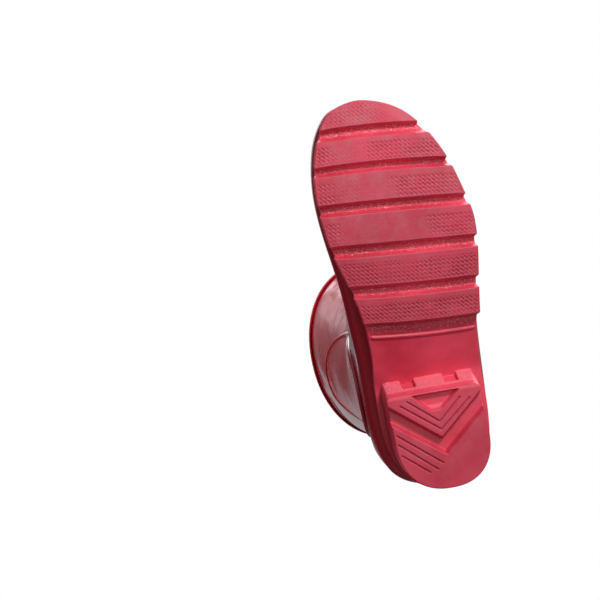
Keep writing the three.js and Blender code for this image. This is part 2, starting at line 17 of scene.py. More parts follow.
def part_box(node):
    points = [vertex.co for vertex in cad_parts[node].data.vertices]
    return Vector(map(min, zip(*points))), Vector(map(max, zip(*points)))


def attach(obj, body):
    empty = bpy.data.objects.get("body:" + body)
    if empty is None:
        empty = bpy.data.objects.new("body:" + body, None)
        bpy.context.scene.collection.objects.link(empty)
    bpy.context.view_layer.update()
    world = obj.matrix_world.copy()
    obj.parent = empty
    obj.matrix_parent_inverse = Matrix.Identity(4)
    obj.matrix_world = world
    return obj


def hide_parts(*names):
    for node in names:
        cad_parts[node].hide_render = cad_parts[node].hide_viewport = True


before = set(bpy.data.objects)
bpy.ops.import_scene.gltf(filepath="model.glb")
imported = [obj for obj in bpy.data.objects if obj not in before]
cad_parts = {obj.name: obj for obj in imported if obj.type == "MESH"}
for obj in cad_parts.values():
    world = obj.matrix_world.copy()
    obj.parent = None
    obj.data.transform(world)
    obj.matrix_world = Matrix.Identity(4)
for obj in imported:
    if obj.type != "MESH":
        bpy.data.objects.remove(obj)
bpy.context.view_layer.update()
ROOT = "root"
MM = 0.001
TAU = 2 * math.pi

# ---- Sizes, as in the CAD ----

GAP = 0.3
SHELL = 2.4
LINING = 1.0
OVERLAY = 1.3
FOXING = 2.4
FOXING_HEIGHT = 17
BINDING = 1.8
BINDING_HEIGHT = 13
INNER = SHELL + GAP
CAVITY = INNER + LINING

BOOT_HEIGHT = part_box("top_binding")[1][2] / MM
COLLAR_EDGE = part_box("leg_shell")[1][2] / MM
HEEL_HEIGHT = 22
HEEL_BACK = 42.5
HEEL_HALF = 35
TOE_SPRING = 14
SPRING_START = -150
BAR_DEPTH = 6
PLATE_OVER_BARS = 7.5
PLATE_OVER_HEEL = 7

# front y, z, back y, z, reach to the inner side, to the outer side, height of the widest place,
# squareness of the front and back halves. A back z of None lies on the floor.
SECTIONS = [
    (-246, 37, -246, 36, 16.5, -16.5, 0.4, 2.2, 3.0),
    (-244, 47, -244, None, 28.5, -1, 0.4, 2.2, 3.4),
    (-236.5, 57, -236.5, None, 37, 15, 0.38, 2.3, 4.2),
    (-220, 69, -219, None, 46, 32, 0.36, 2.3, 4.8),
    (-190, 81, -188, None, 52, 45, 0.34, 2.2, 5.2),
    (-157, 96, -153, None, 51, 52, 0.33, 2.1, 5.2),
    (-129, 113, -117, None, 47.5, 50.5, 0.33, 2.1, 5.0),
    (-109, 134, -80, None, 46.5, 47, 0.34, 2.1, 4.6),
    (-98, 156, -42, None, 46.5, 45.5, 0.35, 2.1, 4.4),
    (-92, 178, 0, None, 47.5, 44.5, 0.37, 2.1, 4.2),
    (-89, 200, 35, 32.5, 46.5, 44, 0.4, 2.1, 3.3),
    (-88, 218, 44, 56, 44.5, 43, 0.45, 2.1, 2.4),
    (-88, 236, 42.5, 105, 43, 42.5, 0.5, 2.1, 2.2),
    (-88.5, 262, 40, 165, 46, 44.5, 0.5, 2.1, 2.1),
    (-91, 300, 48, 240, 52, 50, 0.5, 2.1, 2.1),
    (-94, 340, 59, 315, 58, 55, 0.5, 2.1, 2.1),
    (-96, 378, 66, 378, 61, 57, 0.5, 2.1, 2.1),
]
ROWS = len(SECTIONS) - 1
FLOOR_ROWS = (1, 9)
FLOOR_EASE = 0.3

SOLE_EDGE = [
    (0, 44.5), (23, 38.5), (37, 22), (42, -4), (43, -38), (43.5, -62), (46.5, -84), (50.5, -108),
    (54.5, -132), (55.5, -153), (51.5, -174), (45, -198), (34, -221), (18.5, -239), (-2, -249),
    (-19, -250), (-36, -242.5), (-48, -221), (-54, -198), (-55, -175), (-52.5, -149), (-46, -122),
    (-41, -100), (-39.5, -80), (-39.5, -60), (-41.5, -38), (-42, -4), (-36.5, 22), (-22.5, 38.5),
]

BARS = [
    (-268, -231.5), (-222.5, -204.5), (-197, -176), (-167, -144.5), (-135, -113.5), (-104, -85),
]
BAR_SKEW = 0.12
BOW_MIDDLE = -150
BOW = 1 / 30
BOW_HALF_WIDTH = 0.7 * 108
RIDGE_Y = -73
RIDGE_HEIGHT = 1.2


# ---- Small numeric helpers ----

def smoothstep(low, high, value):
    t = np.clip((value - low) / (high - low), 0, 1)
    return t * t * (3 - 2 * t)


def height_along(points):
    """A smooth height at y through (y, z) points, from the toe to the heel."""
    ys, zs = (np.array(v, float) for v in zip(*points))
    before = np.maximum(np.arange(len(ys)) - 1, 0)
    after = np.minimum(np.arange(len(ys)) + 1, len(ys) - 1)
    slopes = (zs[after] - zs[before]) / (ys[after] - ys[before])

    def height(y):
        at = np.clip(y, ys[0], ys[-1])
        i = np.clip(np.searchsorted(ys, at, side="right") - 1, 0, len(ys) - 2)
        span = ys[i + 1] - ys[i]
        t = (at - ys[i]) / span
        t2, t3 = t * t, t * t * t
        return (
            (2 * t3 - 3 * t2 + 1) * zs[i]
            + (t3 - 2 * t2 + t) * span * slopes[i]
            + (3 * t2 - 2 * t3) * zs[i + 1]
            + (t3 - t2) * span * slopes[i + 1]
        )

    return height


def spring_at(y):
    return TOE_SPRING * (np.maximum(SPRING_START - y, 0) / 100) ** 2


HEEL_RISE = HEEL_HEIGHT - BAR_DEPTH
HEEL_FLOOR = HEEL_RISE + PLATE_OVER_HEEL - PLATE_OVER_BARS
floor_rise = height_along(
    [(-252, 0), (-118, 0.5), (-80, 5.5), (-42, 12.5), (-5, HEEL_FLOOR), (52, HEEL_FLOOR)]
)
plate_rise = height_along(
    [(-252, 0), (-88, 0), (-76, 2.5), (-52, 10), (-36, HEEL_RISE), (52, HEEL_RISE)]
)


def floor_at(y):
    """The height of the boot's floor: the top of the sole plate and the foxing's lower edge."""
    return spring_at(y) + BAR_DEPTH + PLATE_OVER_BARS + floor_rise(y)


def plate_at(y):
    """The height of the sole plate's underside, between and behind the bars."""
    return spring_at(y) + BAR_DEPTH + plate_rise(y)


def spline(values):
    """A natural cubic spline through rows of values, from 0 to 1."""
    values = np.array(values, float)
    n = len(values)
    matrix = np.zeros((n, n))
    matrix[0, 0] = matrix[-1, -1] = 1
    right = np.zeros_like(values)
    for i in range(1, n - 1):
        matrix[i, i - 1:i + 2] = (1, 4, 1)
        right[i] = 6 * (values[i - 1] - 2 * values[i] + values[i + 1])
    bend = np.linalg.solve(matrix, right)

    def at(t):
        place = np.clip(t, 0, 1) * (n - 1)
        i = np.clip(place.astype(int), 0, n - 2)
        b = (place - i)[..., None]
        a = 1 - b
        return (
            a * values[i] + b * values[i + 1]
            + ((a ** 3 - a) * bend[i] + (b ** 3 - b) * bend[i + 1]) / 6
        )

    return at


def evenly(loop, count):
    """Points evenly spaced along a closed loop."""
    closed = np.vstack([loop, loop[:1]])
    along = np.concatenate([[0], np.cumsum(np.linalg.norm(np.diff(closed, axis=0), axis=1))])
    at = np.arange(count) / count * along[-1]
    return np.stack([np.interp(at, along, closed[:, k]) for k in range(2)], 1)


def softened(loop, rounds):
    for _ in range(rounds):
        loop = (np.roll(loop, 1, 0) + 2 * loop + np.roll(loop, -1, 0)) / 4
    return loop


def closed_curve(points, count):
    """A smooth closed outline through (x, y) points, evenly spaced along its length."""
    per_point = 60
    p = np.array(points, float)
    n = len(p)
    t = np.arange(n * per_point) / per_point
    i = t.astype(int)
    w = (t - i)[:, None]
    a, b, c, d = (p[(i + k) % n] for k in (-1, 0, 1, 2))
    fine = 0.5 * (2 * b + (c - a) * w + (2 * a - 5 * b + 4 * c - d) * w ** 2
                  + (3 * b - a - 3 * c + d) * w ** 3)
    return evenly(softened(fine, 30), count)


def outward(loop):
    """Unit normals of a closed outline, pointing out."""
    tangent = np.roll(loop, -1, 0) - np.roll(loop, 1, 0)
    normal = np.stack([tangent[:, 1], -tangent[:, 0]], 1)
    normal /= np.linalg.norm(normal, axis=1, keepdims=True)
    area = np.sum(loop[:, 0] * np.roll(loop[:, 1], -1) - loop[:, 1] * np.roll(loop[:, 0], -1))
    return normal * np.sign(area)


HASH_PRIMES = (73856093, 19349663, 83492791)
HASH_SEED = 2654435761
HASH_STIR = 1274126177
HASH_TOP = 0x7FFFFFFF
HASH_LOW = 0xFFFF


def lattice(points, seed):
    """Smooth noise from -1 to 1 at points of any dimension, with cells 1 wide."""
    points = np.asarray(points, float)
    cell = np.floor(points).astype(np.int64)
    w = points - cell
    w = w * w * (3 - 2 * w)
    total = 0
    size = points.shape[-1]
    for corner in range(2 ** size):
        bits = [(corner >> k) & 1 for k in range(size)]
        key = np.int64(seed * HASH_SEED % HASH_TOP)
        weight = 1.0
        for k in range(size):
            key = key ^ ((cell[..., k] + bits[k]) * HASH_PRIMES[k])
            weight = weight * (w[..., k] if bits[k] else 1 - w[..., k])
        key = (key ^ (key >> 13)) * HASH_STIR & HASH_TOP
        key = (key ^ (key >> 16)) & HASH_LOW
        total = total + weight * (key / (HASH_LOW / 2) - 1)
    return total


def flat_noise(x, y, cell_x, cell_y, seed, shift=0):
    return lattice(np.stack([x / cell_x + shift, y / cell_y], -1), seed)


def search_tree(points):
    """A tree over points that finds each by its place in the list."""
    tree = KDTree(len(points))
    for place, point in enumerate(points):
        tree.insert(point, place)
    tree.balance()
    return tree


def nearest_of(outline, points):
    """For each flat point, the place of an outline's nearest point, and how far off that is."""
    tree = search_tree(np.column_stack([outline, np.zeros(len(outline))]))
    found = np.array([tree.find((x, y, 0))[1:] for x, y in points])
    return found[:, 0].astype(int), found[:, 1]


def line_distance(line, points):
    """How far flat points lie from a line of straight runs."""
    x, y = points[..., 0], points[..., 1]
    line = np.array(line, float)
    best = np.full(x.shape, np.inf)
    for a, b in zip(line[:-1], line[1:]):
        edge = b - a
        t = np.clip(((x - a[0]) * edge[0] + (y - a[1]) * edge[1]) / edge.dot(edge), 0, 1)
        best = np.minimum(best, np.hypot(x - a[0] - t * edge[0], y - a[1] - t * edge[1]))
    return best


def inside_by(polygon, points):
    """How far flat points lie inside a polygon, negative outside."""
    polygon = np.array(polygon, float)
    x, y = points[..., 0], points[..., 1]
    inside = np.zeros(x.shape, bool)
    for a, b in zip(polygon, np.roll(polygon, -1, 0)):
        crosses = (a[1] > y) != (b[1] > y)
        with np.errstate(divide="ignore", invalid="ignore"):
            side = x < (b[0] - a[0]) * (y - a[1]) / (b[1] - a[1]) + a[0]
        inside ^= crosses & side
    away = line_distance(np.vstack([polygon, polygon[:1]]), points)
    return np.where(inside, away, -away)


# ---- The body surface ----

front_curve = spline([s[:2] for s in SECTIONS])
back_curve = spline([(s[2], floor_at(np.float64(s[2])) if s[3] is None else s[3])
                     for s in SECTIONS])
shape_curve = spline([s[4:] for s in SECTIONS])


def section_point(t, angle):
    """The body's point at share t from toe to collar, at an angle round the section: 0 is the
    outer side, a quarter turn the front, a half turn the inner side."""
    t, angle = np.broadcast_arrays(np.asarray(t, float), np.asarray(angle, float))
    front, back, shape = front_curve(t), back_curve(t), shape_curve(t)
    row = t * ROWS
    first, last = FLOOR_ROWS
    on_floor = smoothstep(first - FLOOR_EASE, first, row) * smoothstep(last + FLOOR_EASE, last, row)
    back_z = back[..., 1] + (floor_at(back[..., 0]) - back[..., 1]) * on_floor
    back = np.stack([back[..., 0], back_z], -1)
    inner, outer, widest = shape[..., 0], shape[..., 1], shape[..., 2]
    cosine, sine = np.cos(angle), np.sin(angle)
    power = np.where(sine >= 0, shape[..., 3], shape[..., 4])
    radius = (np.abs(cosine) ** power + np.abs(sine) ** power) ** (-1 / power)
    middle = back + (front - back) * widest[..., None]
    end = np.where((sine >= 0)[..., None], front, back)
    side = middle + (end - middle) * (radius * np.abs(sine))[..., None]
    x = (outer - inner) / 2 + (outer + inner) / 2 * radius * cosine
    return np.stack([x, side[..., 0], side[..., 1]], -1)


# height, depth and lean of the folds over the instep
FOLDS = [(168, 1.5, 0.34), (186, 1.1, 0.26), (205, 0.7, 0.2)]
FOLD_FRONT = 88
FOLD_HALF = 4.5
WAVES = [((46, 46, 70), 3.1, 5, 1.3), ((19, 19, 30), 0, 8, 0.35)]


def creases(point):
    """How far the soft rubber leg stands in or out of its moulded shape."""
    x, y, z = point[..., 0], point[..., 1], point[..., 2]
    slow = sum(lattice(point / cell + shift, seed) * size for cell, shift, seed, size in WAVES)
    on_leg = smoothstep(120, 200, z + (y + 60) * 0.3) * smoothstep(372, 340, z)
    folds = 0
    for height, depth, lean in FOLDS:
        line = z - height + lean * (y + FOLD_FRONT) + 2.5 * np.sin(x / 17 + height)
        folds = folds + depth * np.exp(-((line / FOLD_HALF) ** 2)) * smoothstep(-34, -78, y)
    return slow * on_leg - folds * on_leg ** 0.5


def body(t, angle, grown, creased=True):
    """The body's point moved out along its normal by a distance."""
    step = 2e-3
    t = np.clip(t, 2e-4, 1)
    point = section_point(t, angle)
    low, high = np.maximum(t - step, 1e-4), np.minimum(t + step, 1)
    along = section_point(high, angle) - section_point(low, angle)
    around = section_point(t, angle + step) - section_point(t, angle - step)
    normal = np.cross(along, around)
    normal /= np.linalg.norm(normal, axis=-1, keepdims=True) + 1e-12
    amount = np.asarray(grown, float) + (creases(point) if creased else 0)
    return point + normal * amount[..., None]


def crossing(angles, field, low=0.0, high=1.0, last=False, steps=500):
    """For each angle, the share t at which a field of the body's points changes sign."""
    ts = np.linspace(low, high, steps)
    values = field(section_point(ts[:, None], angles[None, :]))
    changed = np.diff(np.sign(values), axis=0) != 0
    index = (steps - 2 - np.argmax(changed[::-1], 0)) if last else np.argmax(changed, 0)
    columns = np.arange(len(angles))
    a, b = values[index, columns], values[index + 1, columns]
    share = np.where(np.abs(b - a) > 1e-9, a / (a - b + 1e-12), 0)
    return np.where(changed.any(0), ts[index] + (ts[1] - ts[0]) * np.clip(share, 0, 1), np.nan)


# ---- Meshes ----

def grid_faces(rows, columns, wrap, offset=0, flip=False):
    last = columns if wrap else columns - 1
    r, c = np.meshgrid(np.arange(rows - 1), np.arange(last), indexing="ij")
    nxt = (c + 1) % columns
    low, high = r * columns, (r + 1) * columns
    quads = np.stack([low + c, low + nxt, high + nxt, high + c], -1).reshape(-1, 4) + offset
    return quads[:, ::-1] if flip else quads


def make_object(name, points, faces, smooth=True, merge=0.0, attributes=None):
    mesh = bpy.data.meshes.new(name)
    points = np.asarray(points, float) * MM
    mesh.vertices.add(len(points))
    mesh.vertices.foreach_set("co", points.ravel())
    loops = np.concatenate([np.asarray(f).ravel() for f in faces]).astype(np.int32)
    sizes = np.concatenate([np.full(len(f), np.asarray(f).shape[1]) for f in faces])
    starts = np.concatenate([[0], np.cumsum(sizes)[:-1]])
    mesh.loops.add(len(loops))
    mesh.loops.foreach_set("vertex_index", loops)
    mesh.polygons.add(len(sizes))
    mesh.polygons.foreach_set("loop_start", starts.astype(np.int32))
    mesh.polygons.foreach_set("loop_total", sizes.astype(np.int32))
    mesh.update(calc_edges=True)
    for key, values in (attributes or {}).items():
        layer = mesh.attributes.new(key, "FLOAT", "POINT")
        layer.data.foreach_set("value", np.asarray(values, np.float32).ravel())
    mesh.validate()
    obj = bpy.data.objects.new(name, mesh)
    bpy.context.scene.collection.objects.link(obj)
    if merge:
        weld(mesh, merge)
    if smooth:
        mesh.polygons.foreach_set("use_smooth", np.ones(len(mesh.polygons), bool))
    return obj


def weld(mesh, distance):
    bm = bmesh.new()
    bm.from_mesh(mesh)
    bmesh.ops.remove_doubles(bm, verts=bm.verts, dist=distance * MM)
    bmesh.ops.recalc_face_normals(bm, faces=bm.faces)
    bm.to_mesh(mesh)
    bm.free()


def two_sided(name, outer, inner, wrap):
    """A closed sheet between two grids of points: rows run along, columns round."""
    rows, columns = outer.shape[:2]
    count = rows * columns
    points = np.concatenate([outer.reshape(-1, 3), inner.reshape(-1, 3)])
    faces = [grid_faces(rows, columns, wrap), grid_faces(rows, columns, wrap, count, True)]
    index = np.arange(count).reshape(rows, columns)
    for line, flip in ((index[0], False), (index[-1], True)):
        faces.append(rim(line, line + count, wrap, flip))
    if not wrap:
        for line, flip in ((index[:, 0], True), (index[:, -1], False)):
            faces.append(rim(line, line + count, False, flip))
    return make_object(name, points, faces, merge=0.02)


def rim(line, other, wrap, flip):
    nxt = np.roll(line, -1) if wrap else line[1:]
    other_next = np.roll(other, -1) if wrap else other[1:]
    a, b = (line, other) if wrap else (line[:-1], other[:-1])
    quads = np.stack([a, b, other_next, nxt], 1)
    return quads[:, ::-1] if flip else quads


def edge_spaced(count, length, edge=2.2, near=6):
    """Shares from 0 to 1 with extra ones close to both ends, for rounded edges."""
    close = edge * (1 - np.cos(np.linspace(0, math.pi / 2, near))) / length
    close = np.minimum(close, 0.45)
    middle = np.linspace(close[-1], 1 - close[-1], count)[1:-1]
    return np.concatenate([close, middle, 1 - close[::-1]])


def rounded(distance, radius):
    """0 at an edge, 1 from radius inwards, along a quarter circle."""
    t = np.clip(1 - distance / radius, 0, 1)
    return np.sqrt(1 - t * t)


EDGE_THICKNESS = 0.1


def overlay_face(near, radius):
    """How far a layer's outer face stands off the body, rounded near the layer's edge."""
    return GAP + EDGE_THICKNESS + (OVERLAY - EDGE_THICKNESS) * rounded(near, radius)


def layer(name, t, angle, outer, wrap=False):
    """A sheet on the body from the bond line out to a distance."""
    return two_sided(name, body(t, angle, outer), body(t, angle, GAP), wrap)


def from_ends(base):
    """How far a grid's points lie from its first and last columns, whichever is nearer."""
    return np.minimum(np.linalg.norm(base - base[:, :1], axis=-1),
                      np.linalg.norm(base - base[:, -1:], axis=-1))


def strip_between(name, angles, t_low, t_high, rows, edge=2.0):
    """An open strip of rubber on the body between two lines, with rounded edges."""
    length = np.median(np.linalg.norm(
        section_point(t_high, angles) - section_point(t_low, angles), axis=-1))
    shares = edge_spaced(rows, max(length, 2 * edge), edge)
    t = t_low + (t_high - t_low) * shares[:, None]
    angle = np.broadcast_to(angles, t.shape)
    base = section_point(t, angle)
    across_strip = np.minimum(np.linalg.norm(base - base[0], axis=-1),
                              np.linalg.norm(base - base[-1], axis=-1))
    near = np.minimum(across_strip, from_ends(base))
    return layer(name, t, angle, overlay_face(near, edge))


def at_height(angles, z):
    """For each angle, the share t at which the leg passes a height."""
    if z >= BOOT_HEIGHT - 1e-6:
        return np.ones(len(angles))
    return crossing(angles, lambda p: p[..., 2] - z, low=0.7, last=True, steps=240)


def settle(t, angle, residual, rounds=9):
    """Moves (t, angle) until two residuals of the body's point there are zero."""
    step, least, most_t, most_angle = 1e-4, 1e-3, 0.03, 0.15
    for _ in range(rounds):
        here = residual(section_point(t, angle))
        by_t = (residual(section_point(t + step, angle)) - here) / step
        by_angle = (residual(section_point(t, angle + step)) - here) / step
        det = by_t[..., 0] * by_angle[..., 1] - by_t[..., 1] * by_angle[..., 0]
        det = np.where(np.abs(det) < least, least, det)
        dt = (here[..., 0] * by_angle[..., 1] - here[..., 1] * by_angle[..., 0]) / det
        da = (by_t[..., 0] * here[..., 1] - by_t[..., 1] * here[..., 0]) / det
        t = np.clip(t - np.clip(dt, -most_t, most_t), least, 1 - least)
        angle = angle - np.clip(da, -most_angle, most_angle)
    return t, angle


def nearest_on_body(targets, weights, keep, t_count=260, angle_count=360):
    """A first (t, angle) for each target point, from a coarse net over the body."""
    ts, angles = np.meshgrid(np.linspace(0.004, 0.999, t_count),
                             np.arange(angle_count) / angle_count * TAU, indexing="ij")
    net = section_point(ts, angles).reshape(-1, 3)
    ts, angles = ts.ravel(), angles.ravel()
    chosen = np.flatnonzero(keep(net, ts))
    tree = search_tree((net * weights)[chosen])
    found = np.array([chosen[tree.find(p)[1]] for p in (targets * weights).reshape(-1, 3)])
    shape = targets.shape[:-1]
    return ts[found].reshape(shape), angles[found].reshape(shape)


def scan_rows(outline, rows, skewed=True):
    """Where lines across the sole meet its outline: x on the inner side, x on the outer side."""
    x, y = outline[:, 0], outline[:, 1]
    v = across(x, y) if skewed else y
    low, high = np.argmin(v), np.argmax(v)
    count = len(v)
    one = (low + np.arange((high - low) % count + 1)) % count
    other = (high + np.arange((low - high) % count + 1)) % count
    sides = []
    for half in (one, other):
        order = half if v[half[0]] < v[half[-1]] else half[::-1]
        rising = np.maximum.accumulate(v[order]) + np.arange(len(order)) * 1e-9
        sides.append(np.interp(rows, rising, x[order]))
    return np.minimum(*sides), np.maximum(*sides)


def across(x, y):
    """Which line across the sole a point lies on: that line's y in the middle."""
    bowed = 2 * BOW * (x / BOW_HALF_WIDTH) ** 2
    return (y - BAR_SKEW * x - BOW_MIDDLE * bowed) / (1 - bowed)


def line_y(x, v):
    return v + BAR_SKEW * x + 2 * BOW * (BOW_MIDDLE - v) * (x / BOW_HALF_WIDTH) ** 2


def edge_distance(outline, points):
    """How far each point lies from an outline, negative just outside it."""
    flat = points.reshape(-1, 2)
    index, away = nearest_of(outline, flat)
    normal = outward(outline)
    inside = -np.einsum("ij,ij->i", flat - outline[index], normal[index])
    return np.where(away < 1.5, inside, away).reshape(points.shape[:-1])


def ring_round(rows, columns):
    """Indices round a grid's edge, in order."""
    index = np.arange(rows * columns).reshape(rows, columns)
    return np.concatenate([index[0], index[1:, -1], index[-1, -2::-1], index[-2:0:-1, 0]])


def moulded(name, grid, walls, attributes, wall_attributes):
    """A closed moulding: a grid seen from below, walls that rise from its edge, a plain top."""
    rows, columns = grid.shape[:2]
    edge = ring_round(rows, columns)
    faces = [grid_faces(rows, columns, False, flip=True)]
    below = edge
    total = rows * columns
    for _ in walls:
        above = total + np.arange(len(edge))
        faces.append(np.stack([np.roll(below, -1), np.roll(above, -1), above, below], 1))
        below = above
        total += len(edge)
    place = np.full(rows * columns, -1)
    place[edge] = np.arange(len(edge))
    place = place.reshape(rows, columns)
    left, right = below[place[:, 0]], below[place[:, -1]]
    faces.append(np.stack([left[1:-2], right[1:-2], right[2:-1], left[2:-1]], 1))
    faces.append(np.concatenate([below[place[0]], [right[1], left[1]]])[None, :])
    faces.append(np.concatenate([below[place[-1]][::-1], [left[-2], right[-2]]])[None, :])
    plain = np.zeros(len(edge) * len(walls))
    values = {key: np.concatenate([np.ravel(value), np.ravel(wall_attributes.get(key, plain))])
              for key, value in attributes.items()}
    points = np.concatenate([grid.reshape(-1, 3), *walls])
    return make_object(name, points, faces, merge=0.01, attributes=values)


def ramp(value, run, soft):
    """0 to 1 over a straight run, eased at both ends."""
    t = np.clip(value / run, -1, 2)
    k = soft / run
    ease = np.where(t < k, np.clip(t + k, 0, None) ** 2 / (4 * k), t)
    return np.where(t > 1 - k, 1 - np.clip(1 + k - t, 0, None) ** 2 / (4 * k), ease)


# ---- The sole plate with its bars ----

FRONT_RUN = 2.3
BACK_RUN = 2.5
PLATE_INSET = 1.6
TREAD_ROUND = 1.1
BAR_FLARE = 0.5
GRIT_DEPTH = 0.26
ZIG_DEPTH = 0.62
ZIG_LENGTH = 3.3
ZIG_ROW = 3.0
ZIG_REACH = 1.05
ZIG_DRIFT = 0.18
ZIG_START = 0.22
TOE_END = -252
FRESH = (-150, -112)
SOLE_COLUMNS = 186


def bar_share(v):
    """1 on a bar's tread, 0 on the plate between bars."""
    share = np.zeros_like(v)
    for low, high in BARS:
        rise = ramp(v - (low - FRONT_RUN), FRONT_RUN, 0.5)
        fall = ramp((high + BACK_RUN) - v, BACK_RUN, 0.5)
        share = np.maximum(share, np.minimum(rise, fall))
    return share


def zigzag(x, v):
    """How deep the fine zigzag grooves go and how dark their painted shade is, 0 to 1, and how much
    wear has left of them.
    """
    keep = np.zeros_like(x)
    for (low, high), left in zip(BARS, ZIG_LEFT):
        low = max(low, TOE_END)
        start = low + ZIG_START * (high - low)
        on_bar = smoothstep(start - 0.6, start + 0.8, v) * smoothstep(high - 0.4, high - 1.6, v)
        keep = np.maximum(keep, on_bar * left(x, v))
    phase = ((x + ZIG_DRIFT * v) / ZIG_LENGTH) % 1
    wave = np.abs(phase - 0.5) * 4 - 1
    place = ((v + ZIG_REACH * wave) / ZIG_ROW) % 1
    # Strokes of one slant are half as deep and get half the painted shade of the others, as if lit
    # from the upper right.
    cut_and_shade = (1 - smoothstep(0.1, 0.27, np.abs(place - 0.5))) * np.where(phase < 0.5, 1, 0.5)
    fade = 0.72 + 0.4 * flat_noise(x, v, 9, 5, 22, 40) + 0.25 * flat_noise(x, v, 3, 3, 23)
    keep = keep * np.clip(fade, 0.15, 1)
    return cut_and_shade * keep, keep


def worn(low, high, soft, least):
    """How much of the zigzag is left across a bar whose middle is rubbed away."""
    def left(x, v):
        rubbed = smoothstep(low - soft, low, x) * smoothstep(high + soft, high, x)
        patchy = flat_noise(x, v, 7, 6, 21) * 0.28
        return np.clip(1 - rubbed * (1 - least) + patchy * rubbed, 0, 1)
    return left


ZIG_LEFT = [
    lambda x, v: 0.5 * smoothstep(20, -10, x) * smoothstep(-46, -34, x),
    worn(-34, -16, 9, 0.3),
    worn(-38, 0, 9, 0.2),
    worn(-36, 16, 10, 0.0),
    worn(-20, 0, 10, 0.75),
    lambda x, v: np.ones_like(x),
]


def row_places():
    """The lines across the sole that carry the mesh, closer together at the bars' edges."""
    marks = []
    for low, high in BARS:
        marks += [(low - FRONT_RUN - 0.6, 0.5), (low + 0.6, 0.3), (high - 0.6, 0.46),
                  (high + BACK_RUN + 0.6, 0.3)]
    return marks + [(RIDGE_Y - 2.2, 0.7), (RIDGE_Y + 2.4, 0.3), (-34, 1.3), (80, 2.4)]


def sole_rows(first, last):
    ease = 3.0
    rows = [first + ease * (k / 16) ** 2 for k in range(17)]
    at = rows[-1]
    for mark, step in row_places():
        if mark <= at:
            continue
        mark = min(mark, last - ease)
        count = max(1, int(round((mark - at) / step)))
        rows += list(at + (mark - at) * np.arange(1, count + 1) / count)
        at = mark
        if at >= last - ease:
            break
    rows += [last - ease * (k / 12) ** 2 for k in range(11, -1, -1)]
    return np.array(rows)


def spread(left, right, count, edge, near=7):
    """x places from left to right on every row, closer together near both ends."""
    width = np.maximum(right - left, 1e-6)
    close = edge * (1 - np.cos(np.linspace(0, math.pi / 2, near)))
    reach = np.minimum(close[-1], width / 3)
    lead = close[None, :] / close[-1] * reach[:, None]
    middle = np.linspace(0, 1, count)[None, 1:-1]
    inner = reach[:, None] + (width - 2 * reach)[:, None] * middle
    return left[:, None] + np.concatenate([lead, inner, (width[:, None] - lead)[:, ::-1]], 1)


